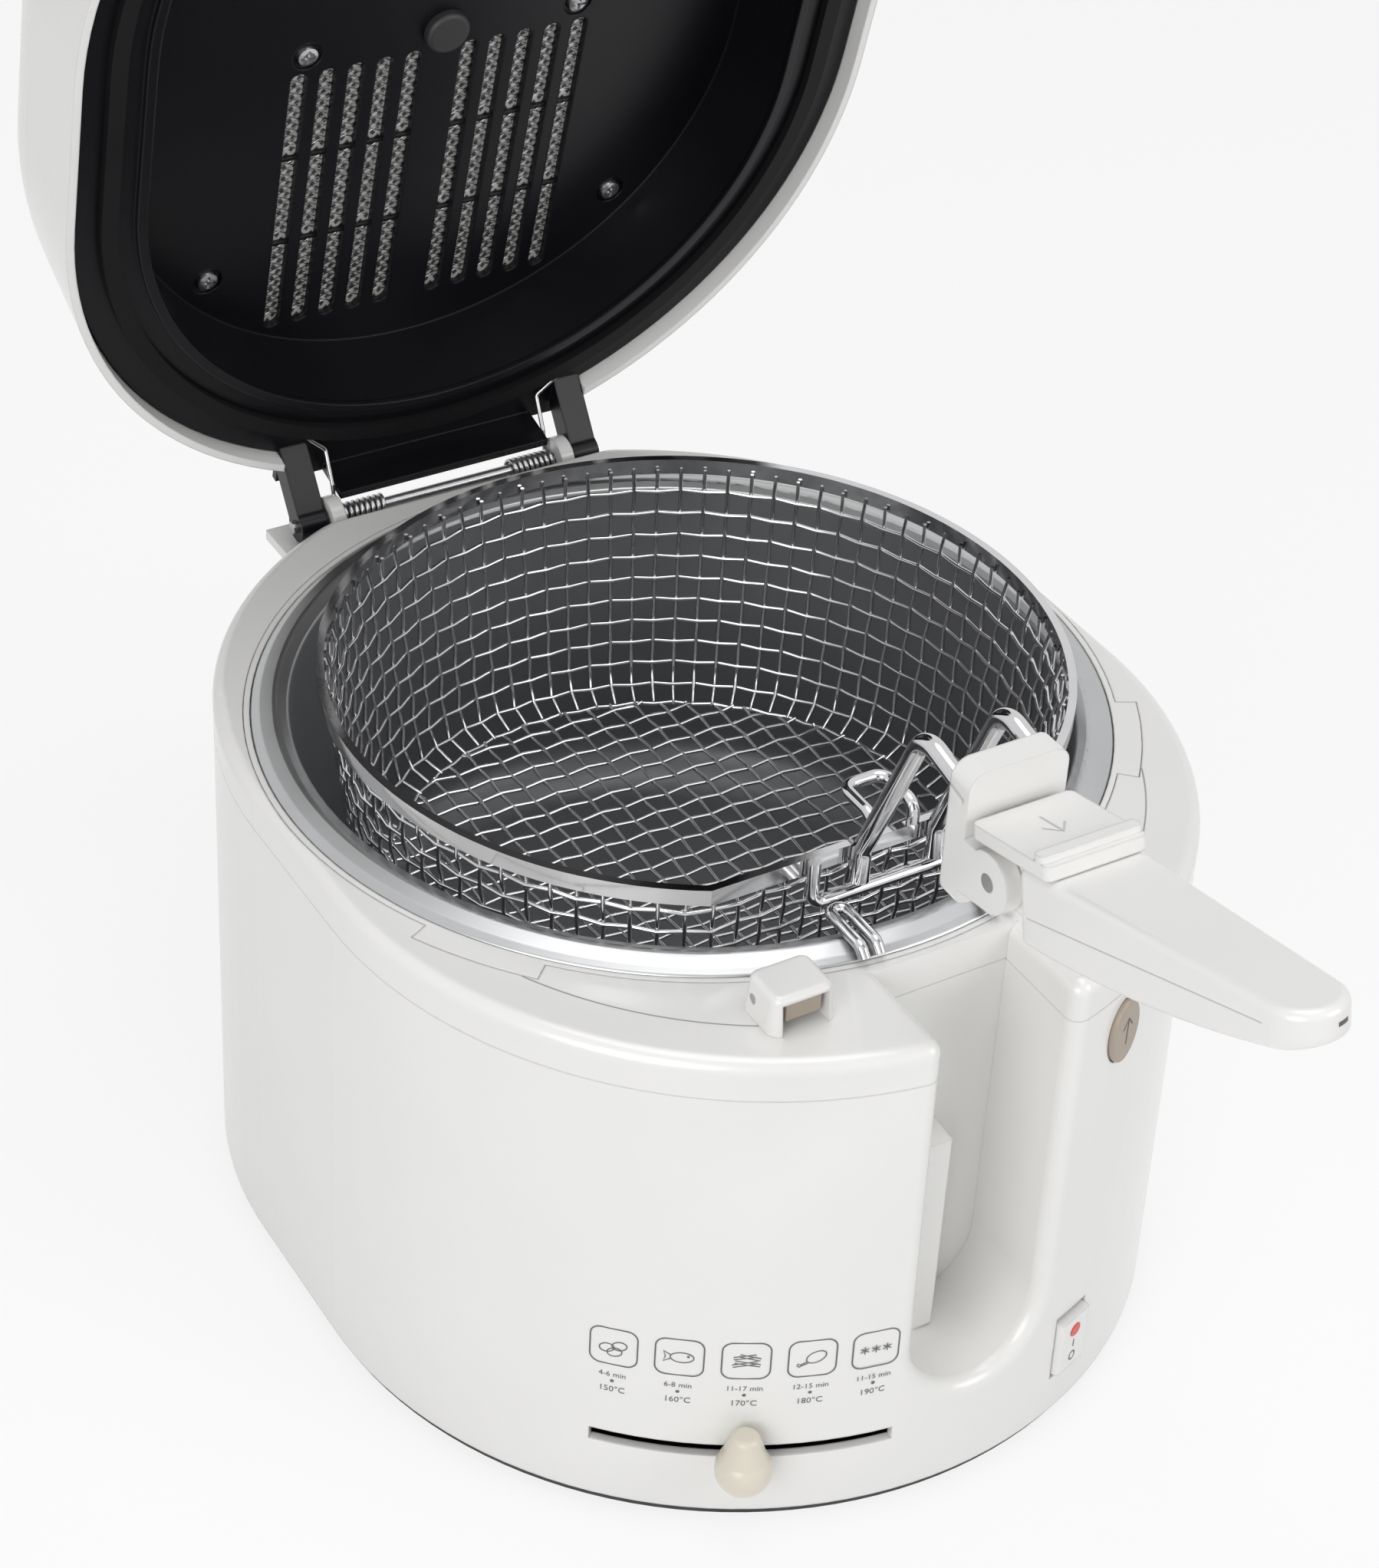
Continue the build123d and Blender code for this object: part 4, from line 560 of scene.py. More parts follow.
@dataclass
class Screw:
    """Cross-slotted pan head screw.

    Attributes:
        radius: Radius of the head.
        height: Height of the head.
        slot: Width of the cross slot.
        reach: Length of the cross slot, as a share of the radius.
        sides: Number of sides of the head.
    """

    radius: float
    height: float
    slot: float = 0.85
    reach: float = 1.3
    sides: int = 24

    def build(self, name: str) -> bpy.types.Object:
        """Builds one head about the origin, with +Z outward.

        Args:
            name: Name of the source piece.

        Returns:
            The head.
        """
        top = self.height
        head = self._lathe(((0.0, top), (0.55, 0.96 * top), (0.85, 0.75 * top), (1.0, 0.3), (1.0, 0.0)))
        cross = bmesh.new()
        size = Matrix.Diagonal((self.radius * self.reach * MM, self.slot * MM, top * MM, 1.0))
        for turn in (0.0, math.pi / 2):
            place = Matrix.Translation((0, 0, top * MM)) @ Matrix.Rotation(turn, 4, "Z") @ size
            bmesh.ops.create_cube(cross, size=1.0, matrix=place)
        pieces = []
        for label, mesh in ((name, head), ("cross", cross)):
            data = bpy.data.meshes.new(label)
            mesh.to_mesh(data)
            mesh.free()
            pieces.append(new_object(label, data))
        obj, tool = pieces
        cut = obj.modifiers.new("cut", "BOOLEAN")
        cut.operation, cut.object, cut.use_self = "DIFFERENCE", tool, True
        settle(obj)
        bpy.data.objects.remove(tool)
        return obj

    def _lathe(self, profile: Sequence[Point2]) -> bmesh.types.BMesh:
        """Turns a profile, from its middle at the top to its foot, about Z.

        Args:
            profile: Shares of the radius and heights.

        Returns:
            The closed mesh, in metres.
        """
        mesh = bmesh.new()
        turns = [2 * math.pi * i / self.sides for i in range(self.sides)]
        tip = mesh.verts.new((0, 0, profile[0][1] * MM))
        rings = []
        for share, h in profile[1:]:
            r = share * self.radius * MM
            rings.append([mesh.verts.new((r * math.cos(a), r * math.sin(a), h * MM)) for a in turns])
        for i in range(self.sides):
            j = (i + 1) % self.sides
            mesh.faces.new((tip, rings[0][i], rings[0][j]))
            for upper, lower in zip(rings, rings[1:]):
                mesh.faces.new((upper[i], lower[i], lower[j], upper[j]))
        mesh.faces.new(list(reversed(rings[-1])))
        bmesh.ops.recalc_face_normals(mesh, faces=mesh.faces)
        return mesh

    def spread(self, kit: Kit, node: str, spots: Sequence[Point3], turn: Point3, body: Body) -> bpy.types.Object:
        """Sets a head on every spot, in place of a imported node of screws.

        Args:
            kit: The shared node trees.
            node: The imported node.
            spots: Places of the heads, in millimetres.
            turn: Euler turn of each head.
            body: Body that the heads ride on.

        Returns:
            The heads as one piece.
        """
        head = self.build(f"{node}_source")
        name = f"{node.removesuffix('s')}_heads"
        screws = kit.scatter.run(name, spots, [], STEEL, {"Source": head, "Turn": turn})
        bpy.data.objects.remove(head)
        return seat(screws, body, node)


@dataclass
class Assembly:
    """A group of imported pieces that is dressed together, with the pieces added to it."""

    finishes: ClassVar[dict[str, Finish]] = {}

    def build(self, kit: Kit) -> list[bpy.types.Object]:
        """Builds the added pieces.

        Args:
            kit: The shared node trees.

        Returns:
            The new pieces.
        """
        return []

    def dress(self) -> None:
        """Gives the group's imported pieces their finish."""
        for name, finish in self.finishes.items():
            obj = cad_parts[name]
            if not obj.material_slots:
                obj.data.materials.append(finish.material())
            for slot in obj.material_slots:
                slot.material = finish.material()
            LOG.info("dressed %s in %s", name, finish.name)


@dataclass
class Hull(Assembly):
    """Outer body: wall, deck, collar, base and what stands on it.

    Attributes:
        deck_z: Height of the deck.
        centre_y: Centre of the deck's front half circle.
        line_radius: Radius of the line of painted shade round the deck, along its seam.
        line_width: Width of that line.
        line_runs: Angles between which the line runs.
        foot_x: Sideways place of the feet.
        screw_y: Places of the base screws, front and rear.
        screw_z: Height of the screws' seats.
        screw: Their head.
    """

    finishes: ClassVar[dict[str, Finish]] = {
        "housing": WHITE, "base_plate": DARK, "feet": RUBBER, "base_screws": STEEL, "top_ring": WHITE,
        "bowl_collar": WHITE, "cable_gland": DARK,
    }
    deck_z: float = 166.0
    centre_y: float = -34.0
    line_radius: float = 112.0
    line_width: float = 0.45
    line_runs: tuple[Point2, ...] = ((-152.0, -119.0), (-72.0, -28.0))
    foot_x: float = 84.0
    screw_y: Point2 = (-65.0, 100.0)
    screw_z: float = 2.0
    screw: ClassVar[Screw] = Screw(radius=3.5, height=1.5)

    def build(self, kit: Kit) -> list[bpy.types.Object]:
        """Builds the deck's line of painted seam shade and the cross-slotted base screws.

        Args:
            kit: The shared node trees.

        Returns:
            The new pieces.
        """
        # The deck's line is painted shade along the seam round the deck.
        runs = [arc(self.line_radius, start, end, (0.0, self.centre_y)) for start, end in self.line_runs]
        mesh = draw(runs, self.line_width, lambda u, v: Vector((u, v, self.deck_z + MARK_LIFT)))
        line = mark_piece("deck_line", mesh, SEAM_SHADE, Body.BASE, lambda spot: Vector((0, 0, 1)))
        spots = [(x, y, self.screw_z) for x in (-self.foot_x, self.foot_x) for y in self.screw_y]
        return [line, self.screw.spread(kit, "base_screws", spots, (math.pi, 0.0, 0.0), Body.BASE)]


@dataclass
class HeatingUnit(Assembly):
    """Bowl and what heats it."""

    finishes: ClassVar[dict[str, Finish]] = {
        "bowl": BOWL, "heating_element": STEEL, "heat_shield": SHEET, "thermostat": DARK,
        "terminal_block": DARK, "thermal_fuse": STEEL,
    }


@dataclass(frozen=True)
class FrontWall:
    """Round front of the body's wall, a little wider at its foot.

    Attributes:
        centre_y: Centre of its half circle.
        base_radius: Radius at its foot.
        top_radius: Radius at its top.
        foot_z: Height of its foot.
        top_z: Height of its top.
    """

    centre_y: float = -34.0
    base_radius: float = 129.5
    top_radius: float = 127.5
    foot_z: float = 5.0
    top_z: float = 154.0

    def radius(self, z: float) -> float:
        """Returns the wall's radius at a height."""
        share = (z - self.foot_z) / (self.top_z - self.foot_z)
        return self.base_radius + (self.top_radius - self.base_radius) * share

    def bent(self, angle: float, along: float, z: float, lift: float) -> Vector:
        """Bends a point round the wall.

        Args:
            angle: Angle that the run along the wall starts from.
            along: Run along the wall.
            z: Height of the point.
            lift: Its height over the wall.

        Returns:
            The point's place.
        """
        r = self.radius(z)
        turn = math.radians(angle) + along / r
        return Vector(((r + lift) * math.cos(turn), self.centre_y + (r + lift) * math.sin(turn), z))

    def facet(self, angle: float, z: float, out: float) -> tuple[Place, Vector]:
        """Returns a flat face on the wall.

        Args:
            angle: Angle round the wall.
            z: Height of the face's middle.
            out: How far the face stands out of the wall.

        Returns:
            The place of its points and its outward direction.
        """
        a = math.radians(angle)
        normal, along = Vector((math.cos(a), math.sin(a), 0)), Vector((-math.sin(a), math.cos(a), 0))
        origin = Vector((0, self.centre_y, z)) + normal * (self.radius(z) + out + MARK_LIFT)
        return lambda u, v: origin + along * u + Vector((0, 0, v)), normal


class Mark(Enum):
    """Pictograms of the settings, each drawn by its own strokes."""

    ROUNDS = "rounds"
    FISH = "fish"
    STICKS = "sticks"
    LEG = "leg"
    FLAKES = "flakes"


@dataclass
class FrontPrint:
    """Settings printed on the front wall, bent round it.

    Attributes:
        wall: The wall.
        lift: Height of the print over the wall.
        box: Half width of a setting's frame.
        corner: Radius of the frame's corners.
        line: Width of its lines.
        thin: Width of a pictogram's lines, as a share of that.
        icon_z: Height of the frames' middles.
        time: Height of the time's figures and how far their foot is under the frame.
        dot: Radius and width of the dot's line and how far it is under the frame.
        heat: Height of the temperature's figures and how far their foot is under the frame.
        settings: Angle, pictogram, time and temperature of each setting.
    """

    wall: FrontWall = FrontWall()
    lift: float = 0.07
    box: float = 6.6
    corner: float = 3.0
    line: float = 0.42
    thin: float = 0.8
    icon_z: float = 62.5
    time: Point2 = (1.75, 4.6)
    dot: Point3 = (0.3, 0.5, 6.2)
    heat: Point2 = (2.0, 10.2)
    settings: ClassVar[tuple[tuple[float, Mark, str, str], ...]] = (
        (-134.5, Mark.ROUNDS, "4-6 min", "150°C"),
        (-126.5, Mark.FISH, "6-8 min", "160°C"),
        (-118.5, Mark.STICKS, "11-17 min", "170°C"),
        (-110.5, Mark.LEG, "12-15 min", "180°C"),
        (-102.6, Mark.FLAKES, "11-15 min", "190°C"),
    )

    def frame(self) -> list[Point2]:
        """Lays points round a setting's rounded frame.

        Returns:
            The points.
        """
        flat = self.box - self.corner
        points = []
        for k, (sx, sy) in enumerate(((1, 1), (-1, 1), (-1, -1), (1, -1))):
            points.extend(arc(self.corner, 90 * k, 90 * k + 90, (sx * flat, sy * flat), 6))
        return points

    def strokes(self, mark: Mark) -> list[tuple[list[Point2], bool]]:
        """Returns a pictogram's strokes.

        Args:
            mark: Which pictogram.

        Returns:
            Points of each stroke and whether it closes.
        """
        if mark is Mark.ROUNDS:
            spots = ((-1.9, -0.6), (1.6, 0.5), (0.3, -1.9))
            return [(ellipse(x, y, 2.1, 1.5, 15), True) for x, y in spots]
        if mark is Mark.FISH:
            body = ellipse(0.7, 0.0, 3.2, 1.8)
            tail = [(-2.3, 0.6), (-4.4, 1.9), (-3.8, 0.0), (-4.4, -1.9), (-2.3, -0.6)]
            return [(body, True), (tail, False), (ellipse(2.4, 0.5, 0.25, 0.25, count=10), True)]
        if mark is Mark.STICKS:
            rows = ((-3.6, -1.9, 3.0, -0.6), (-3.0, -0.4, 3.8, -1.7), (-3.4, 0.9, 2.6, 1.9), (-1.8, 2.0, 3.8, 0.5))
            sticks = []
            for x0, y0, x1, y1 in rows:
                run = Vector((x1 - x0, y1 - y0)).normalized()
                n = Vector((-run.y, run.x)) * 0.45
                ring = [(x0 + n.x, y0 + n.y), (x1 + n.x, y1 + n.y), (x1 - n.x, y1 - n.y), (x0 - n.x, y0 - n.y)]
                sticks.append((ring, True))
            return sticks
        if mark is Mark.LEG:
            meat = ellipse(1.0, 0.4, 2.9, 1.9, 28)
            bone = [(-1.5, -1.2), (-3.4, -2.2), (-3.9, -1.6), (-4.2, -2.4), (-3.5, -3.0), (-3.2, -2.6), (-1.2, -1.7)]
            return [(meat, True), (bone, False)]
        flakes: list[tuple[list[Point2], bool]] = []
        for cx in (-3.2, 0.0, 3.2):
            for a in (math.radians(60 * k + 30) for k in range(3)):
                x, y = 1.35 * math.cos(a), 1.35 * math.sin(a)
                flakes.append(([(cx - x, -y), (cx + x, y)], False))
        return flakes

    def words(self, mesh: bmesh.types.BMesh, text: str, angle: float, size: Point2) -> None:
        """Adds a line of figures, bent round the wall.

        Args:
            mesh: Mesh to add to.
            text: The figures.
            angle: Angle of the line's middle.
            size: Height of a figure and how far its foot is under the frame.
        """
        height, drop = size
        z = self.icon_z - self.box - drop
        curve = bpy.data.curves.new("figures", "FONT")
        curve.body, curve.align_x, curve.size, curve.resolution_u = text, "CENTER", height / FIGURE_SHARE, 3
        source = new_object("figures", curve)
        flat = plain_mesh(source)
        verts = [mesh.verts.new(self.wall.bent(angle, v.co.x, z + v.co.y, self.lift)) for v in flat.vertices]
        for polygon in flat.polygons:
            mesh.faces.new([verts[i] for i in polygon.vertices])
        bpy.data.objects.remove(source)
        bpy.data.meshes.remove(flat)

    def build(self) -> bpy.types.Object:
        """Builds the row of settings.

        Returns:
            The print as one piece.
        """
        mesh = bmesh.new()
        dot_radius, dot_line, dot_drop = self.dot
        for angle, mark, time, heat in self.settings:
            def place(u: float, v: float, turn: float = angle) -> Vector:
                """Returns the place on the wall of a point of this setting."""
                return self.wall.bent(turn, u, self.icon_z + v, self.lift)

            ribbon(mesh, self.frame(), self.line, place, closed=True)
            for points, closed in self.strokes(mark):
                ribbon(mesh, points, self.line * self.thin, place, closed)
            self.words(mesh, time, angle, self.time)
            dot = ellipse(0.0, -self.box - dot_drop, dot_radius, dot_radius, count=12)
            ribbon(mesh, dot, dot_line, place, closed=True)
            self.words(mesh, heat, angle, self.heat)
        centre = Vector((0.0, self.wall.centre_y, 0.0))
        return mark_piece("front_print", mesh, PRINT, Body.BASE,
                          lambda spot: (spot - centre).to_2d().to_3d())


@dataclass
class Controls(Assembly):
    """Temperature slider, rocker switch, lid release and latch.

    Attributes:
        wall: The wall that they sit in.
        button: Angle and height of the release button, and how far it stands out.
        arrow: Strokes of the button's arrow.
        switch: Angle and height of the rocker, and how far it stands out.
        dash: Stroke of the rocker's dash.
        ring: Middle height and half sizes of the rocker's ring.
        line: Width of the marks' lines.
    """

    finishes: ClassVar[dict[str, Finish]] = {
        "slider_lever": DARK, "slider_knob": CREAM, "rocker": WHITE, "pilot_lens": LENS, "switch_body": DARK,
        "release_button": TAUPE, "latch_hood": WHITE, "latch_claw": TAUPE, "latch_pin": STEEL,
    }
    wall: FrontWall = FrontWall()
    button: Point3 = (-68.0, 140.0, 1.6)
    arrow: tuple[Stroke, ...] = (((0.0, -4.2), (0.0, 4.6)), ((-2.2, 1.6), (0.0, 4.8), (2.2, 1.6)))
    switch: Point3 = (-71.0, 30.0, 2.0)
    dash: Stroke = ((0.0, 0.8), (0.0, -2.0))
    ring: Point3 = (-5.6, 1.2, 1.5)
    line: float = 0.55

    def build(self, kit: Kit) -> list[bpy.types.Object]:
        """Builds the marks on the button and the rocker, and the settings' print; the button's arrow is painted shade
        of its engraving.

        Args:
            kit: The shared node trees.

        Returns:
            The new pieces.
        """
        place, out = self.wall.facet(*self.button)
        strokes = draw(self.arrow, self.line, place)
        # The button's engraved arrow is drawn as painted shade.
        arrow = mark_piece("button_arrow", strokes, RECESS_SHADE, Body.BUTTON, lambda spot: out)
        place, away = self.wall.facet(*self.switch)
        strokes = draw([self.dash], self.line, place)
        ribbon(strokes, ellipse(0.0, *self.ring), self.line, place, closed=True)
        marks = mark_piece("rocker_marks", strokes, PRINT, Body.ROCKER, lambda spot: away)
        return [arrow, marks, FrontPrint().build()]


@dataclass(frozen=True)
class LidPlane:
    """The lid's own coordinates, as drawn shut, and where they lie on the open lid.

    Attributes:
        hinge_y: Distance of the hinge axis behind the bowl's axis.
        hinge_z: Height of the hinge axis.
        angle: Opening angle in degrees.
    """

    hinge_y: float = 147.0
    hinge_z: float = 156.0
    angle: float = 75.0

    def place(self, x: float, y: float, z: float) -> Point3:
        """Opens the lid under a point.

        Args:
            x: Sideways place on the shut lid.
            y: Place behind the bowl's axis.
            z: Height.

        Returns:
            The point's place on the open lid.
        """
        s, c = math.sin(math.radians(self.angle)), math.cos(math.radians(self.angle))
        dy, dz = y - self.hinge_y, z - self.hinge_z
        return (x, self.hinge_y + dy * c + dz * s, self.hinge_z - dy * s + dz * c)

    def turn(self) -> Point3:
        """Returns the Euler turn of a piece drawn with +Z out of the lid's inner face."""
        return (math.radians(180.0 - self.angle), 0.0, 0.0)


@dataclass
class Hinge(Assembly):
    """Lid hinge: bracket, rod and springs.

    Attributes:
        plane: Holds the hinge's axis.
        leg: Route of a spring's lid-side leg, sideways and from the axis.
        wire: Radius of the spring wire.
        bend: Radius of its bends.
    """

    finishes: ClassVar[dict[str, Finish]] = {
        "hinge_bracket": WHITE, "hinge_rod": STEEL, "left_lid_spring": STEEL, "right_lid_spring": STEEL,
    }
    plane: LidPlane = LidPlane()
    leg: tuple[Point3, ...] = (
        (37.25, 0.3, -3.05), (37.25, 3.4, -1.5), (37.25, 5.4, 8.0), (37.25, 10.4, 18.4), (45.0, 8.3, 26.0),
    )
    wire: float = 0.7
    bend: float = 1.6

    def build(self, kit: Kit) -> list[bpy.types.Object]:
        """Builds the legs that the springs rest on the lid with.

        Args:
            kit: The shared node trees.

        Returns:
            The new pieces.
        """
        y, z = self.plane.hinge_y, self.plane.hinge_z
        routes = [[(side * x, y + back, z + up) for x, back, up in self.leg] for side in (-1, 1)]
        legs = kit.wires.make("spring_legs", routes, self.wire, STEEL, bend=self.bend, sides=12)
        return [seat(legs, Body.LID)]


@dataclass
class Lid(Assembly):
    """Domed lid with its lining, filter and screws.

    Attributes:
        plane: The lid's own coordinates.
        plate_z: Height of the lining's plate on the shut lid.
        plate_t: Thickness of the plate.
        screw_spots: Places of the screws on the right half of the shut lid.
        screw: Their head.
        field_x: Middle of a slotted field.
        slot_pitch: Distance from slot to slot.
        slot_count: Slots in a field.
        slot_half: Half the width of the strands' run in a slot.
        bays: Runs of the slots between their bars.
        strand: Radius of the filter's strands.
        step: Length of one strand's crossing along the slot.
    """

    finishes: ClassVar[dict[str, Finish]] = {
        "lid_shell": WHITE, "lid_panel": BLACK, "lid_seal": RUBBER, "filter_mesh": GAUZE, "lid_screws": STEEL,
        "steam_valve": DARK, "vent_cover": WHITE, "lid_catch": BLACK,
    }
    plane: LidPlane = LidPlane()
    plate_z: float = 198.0
    plate_t: float = 2.5
    screw_spots: tuple[Point2, ...] = ((44.0, -2.0), (69.0, 77.0), (95.0, -4.0))
    screw: ClassVar[Screw] = Screw(radius=3.6, height=2.2)
    field_x: float = 27.5
    slot_pitch: float = 9.2
    slot_count: int = 5
    slot_half: float = 2.3
    bays: tuple[Point2, ...] = ((5.0, 35.6), (37.8, 68.2), (70.4, 101.0))
    strand: float = 0.22
    step: float = 2.2

    def strands(self) -> list[list[Point3]]:
        """Lays out the crossing strands that show in the slots.

        Returns:
            Their runs.
        """
        level = self.plate_z + self.plate_t - self.strand - MARK_LIFT
        slots = [k - (self.slot_count - 1) / 2 for k in range(self.slot_count)]
        middles = [side * self.field_x + k * self.slot_pitch for side in (-1, 1) for k in slots]
        runs = []
        for middle in middles:
            for low, high in self.bays:
                count = int((high - low) / self.step)
                for way in (-self.slot_half, self.slot_half):
                    run = [(middle + way * (-1) ** i, low + i * self.step) for i in range(count + 1)]
                    runs.append([self.plane.place(x, y, level) for x, y in run])
        return runs

    def build(self, kit: Kit) -> list[bpy.types.Object]:
        """Builds the filter's strands and the cross-slotted screws.

        Args:
            kit: The shared node trees.

        Returns:
            The new pieces.
        """
        strands = kit.wires.make("filter_strands", self.strands(), self.strand, CHROME, sides=5)
        seat_z = self.plate_z + self.plate_t / 2
        spots = [self.plane.place(side * x, y, seat_z) for x, y in self.screw_spots for side in (-1, 1)]
        screws = self.screw.spread(kit, "lid_screws", spots, self.plane.turn(), Body.LID)
        return [seat(strands, Body.LID), screws]


@dataclass
class Basket(Assembly):
    """Wire basket: woven wall and floor that stand for the plain wall of the solids, rim, arms and hooks.

    Attributes:
        radius: Radius of the rim.
        centre_y: Place of its axis.
        chord_y: Place of the flat at the handle.
        top: Height of the rim.
        depth: Depth of the basket.
        rim_inset: How far the wall's top is inside the rim.
        foot_inset: How far the bend at the wall's foot starts inside the rim.
        pitch: Distance from wire to wire.
        wire: Radius of the wire.
        weave: How far the wires swing to either side where they cross.
        corner: Radius of the bend from the wall to the floor.
    """

    finishes: ClassVar[dict[str, Finish]] = {
        "basket_mesh": CHROME, "basket_rim": CHROME, "left_arm": CHROME, "right_arm": CHROME,
        "grip_loop": CHROME, "rest_wire": CHROME, "left_drain_hook": CHROME, "right_drain_hook": CHROME,
    }
    radius: float = 107.0
    centre_y: float = -6.0
    chord_y: float = -100.0
    top: float = 183.0
    depth: float = 75.7
    rim_inset: float = 2.8
    foot_inset: float = 10.5
    pitch: float = 7.4
    wire: float = 0.62
    weave: float = 0.496
    corner: float = 9.0

    def outline(self, inset: float, count: int) -> list[Point2]:
        """Lays points round the basket's outline, evenly by angle.

        Args:
            inset: How far the outline is drawn in.
            count: Number of points.

        Returns:
            The points.
        """
        points = []
        r, flat = self.radius - inset, self.chord_y + inset
        for i in range(count):
            a = 2 * math.pi * i / count - math.pi / 2
            x, y = r * math.cos(a), self.centre_y + r * math.sin(a)
            if y < flat:
                reach = (flat - self.centre_y) / math.sin(a)
                x, y = reach * math.cos(a), flat
            points.append((x, y))
        return points

    def level(self, share: float) -> tuple[float, float]:
        """Follows the wall and its bend down.

        Args:
            share: Share of the way down.

        Returns:
            Height and inset there.
        """
        straight = self.depth - self.corner
        drop = share * (straight + self.corner * math.pi / 2)
        if drop <= straight:
            return self.top - drop, self.rim_inset + (self.foot_inset - self.rim_inset) * drop / straight
        a = (drop - straight) / self.corner
        return (self.top - straight - self.corner * math.sin(a),
                self.foot_inset + self.corner * (1 - math.cos(a)))

    def wall(self) -> tuple[list[list[Point3]], list[list[Point3]]]:
        """Lays out the wall's wires.

        Returns:
            The upright runs and the closed hoops.
        """
        around = 2 * round(math.pi * 2 * self.radius / self.pitch / 2)
        rows = round((self.depth + self.corner / 2) / self.pitch)
        rings = []
        for row in range(rows + 1):
            z, inset = self.level(row / rows)
            sides = [self.outline(inset + swing, around) for swing in (-self.weave, self.weave)]
            rings.append([[(*point, z) for point in side] for side in sides])
        uprights = [[rings[row][(i + row) % 2][i] for row in range(rows + 1)] for i in range(around)]
        hoops = [[rings[row][(i + row + 1) % 2][i] for i in range(around)] for row in range(1, rows + 1)]
        return uprights, hoops

    def floor(self) -> list[list[Point3]]:
        """Lays out the floor's crossing wires.

        Returns:
            Their runs.
        """
        z, inset = self.level(1.0)
        r, front = self.radius - inset, self.chord_y + inset - self.centre_y
        runs: list[list[Point3]] = []
        count = int(r / self.pitch)
        for k in range(-count, count + 1):
            offset = k * self.pitch
            half = math.sqrt(r * r - offset * offset)
            for start, across in ((max(-half, front), False), (-half, True)):
                if across and offset < front:
                    continue
                steps = range(math.ceil(start / self.pitch), int(half / self.pitch) + 1)
                run = []
                for i, v in enumerate([start, *(s * self.pitch for s in steps), half]):
                    swing = self.weave * (-1) ** (i + k + across)
                    x, y = (v, offset) if across else (offset, v)
                    run.append((x, self.centre_y + y, z + swing))
                runs.append(run)
        return runs

    def build(self, kit: Kit) -> list[bpy.types.Object]:
        """Builds the basket's woven pieces.

        Args:
            kit: The shared node trees.

        Returns:
            The pieces.
        """
        uprights, hoops = self.wall()
        pieces = [
            kit.wires.make("basket_uprights", uprights, self.wire, CHROME),
            kit.wires.make("basket_hoops", hoops, self.wire, CHROME, closed=True),
            kit.wires.make("basket_floor", self.floor(), self.wire, CHROME),
        ]
        return [seat(piece, Body.BASKET, "basket_mesh") for piece in pieces]


@dataclass
class Handle(Assembly):
    """Folding handle on the basket's arms.

    Attributes:
        pin: Place of its pin.
        rise: Angle at which the grip rises outward.
        lock_top: Height of the lock's top face over the pin.
        arrow: Strokes of the arrow on that face.
        line: Width of its lines.
        length: Distance of the grip's tip from the pin.
        root: Distance of its root from the pin.
        root_half: Half the grip's width at its root.
        tip_half: Half its width, and the radius, at its tip.
        seam: Start and end of the parting line, as distance from the pin and height.
        seam_width: Width of that line.
        slot: Places across the tip that the slot runs through.
        slot_h: Height of the slot over the pin.
        slot_width: Width of the slot.
    """

    finishes: ClassVar[dict[str, Finish]] = {
        "handle_bracket": WHITE, "handle_pin": STEEL, "handle_grip": WHITE, "handle_lock": WHITE,
    }
    pin: Point3 = (5.0, -160.0, 216.0)
    rise: float = 13.0
    lock_top: float = 14.3
    arrow: tuple[Stroke, ...] = (((0.0, 2.0), (0.0, 11.5)), ((-3.4, 7.6), (0.0, 12.0), (3.4, 7.6)))
    line: float = 0.7
    length: float = 113.0
    root: float = 13.0
    root_half: float = 15.0
    tip_half: float = 10.5
    seam: tuple[Point2, Point2] = ((16.5, -3.0), (101.0, 4.6))
    seam_width: float = 0.3
    slot: tuple[float, ...] = (1.4, 2.1, 2.8, 3.5, 4.2, 4.9)
    slot_h: float = 5.4
    slot_width: float = 1.2

    def build(self, kit: Kit) -> list[bpy.types.Object]:
        """Builds the lock's arrow and the grip's parting lines, drawn as painted shade of their relief, and the slot
        in its tip, drawn as painted shade of its hollow.

        Args:
            kit: The shared node trees.

        Returns:
            The new pieces.
        """
        s, c = math.sin(math.radians(self.rise)), math.cos(math.radians(self.rise))
        along, up = Vector((0, -c, s)), Vector((0, s, c))
        pin = Vector(self.pin)

        def at(x: float, d: float, h: float) -> Vector:
            """Returns the place of a point from the pin: to the side, along the grip and up."""
            return pin + Vector((x, 0, 0)) + along * d + up * h

        arrow = draw(self.arrow, self.line, lambda u, v: at(u, v, self.lock_top + MARK_LIFT))
        end = self.length - self.tip_half
        slope = (self.tip_half - self.root_half) / (end - self.root)
        lines = bmesh.new()
        for side in (-1, 1):
            def flank(d: float, h: float, way: int = side) -> Vector:
                """Returns the place of a point of one side of the grip."""
                return at(way * (self.root_half + slope * (d - self.root) + MARK_LIFT), d, h)

            ribbon(lines, self.seam, self.seam_width, flank)

        def tip(u: float, h: float) -> Vector:
            """Returns the place of a point of the grip's rounded tip."""
            return at(u, end + math.sqrt(self.tip_half**2 - u**2) + MARK_LIFT, h)

        slot = draw([[(u, self.slot_h) for u in self.slot]], self.slot_width, tip)
        return [
            # The lock's arrow and the grip's parting lines are painted shade of their relief.
            mark_piece("lock_arrow", arrow, RELIEF_SHADE, Body.LOCK, lambda spot: up),
            mark_piece("grip_seam", lines, RELIEF_SHADE, Body.GRIP, lambda spot: Vector((spot.x - pin.x, 0, 0))),
            # The slot in the grip's tip is painted shade of its hollow.
            mark_piece("grip_slot", slot, RECESS_SHADE, Body.GRIP, lambda spot: along),
        ]


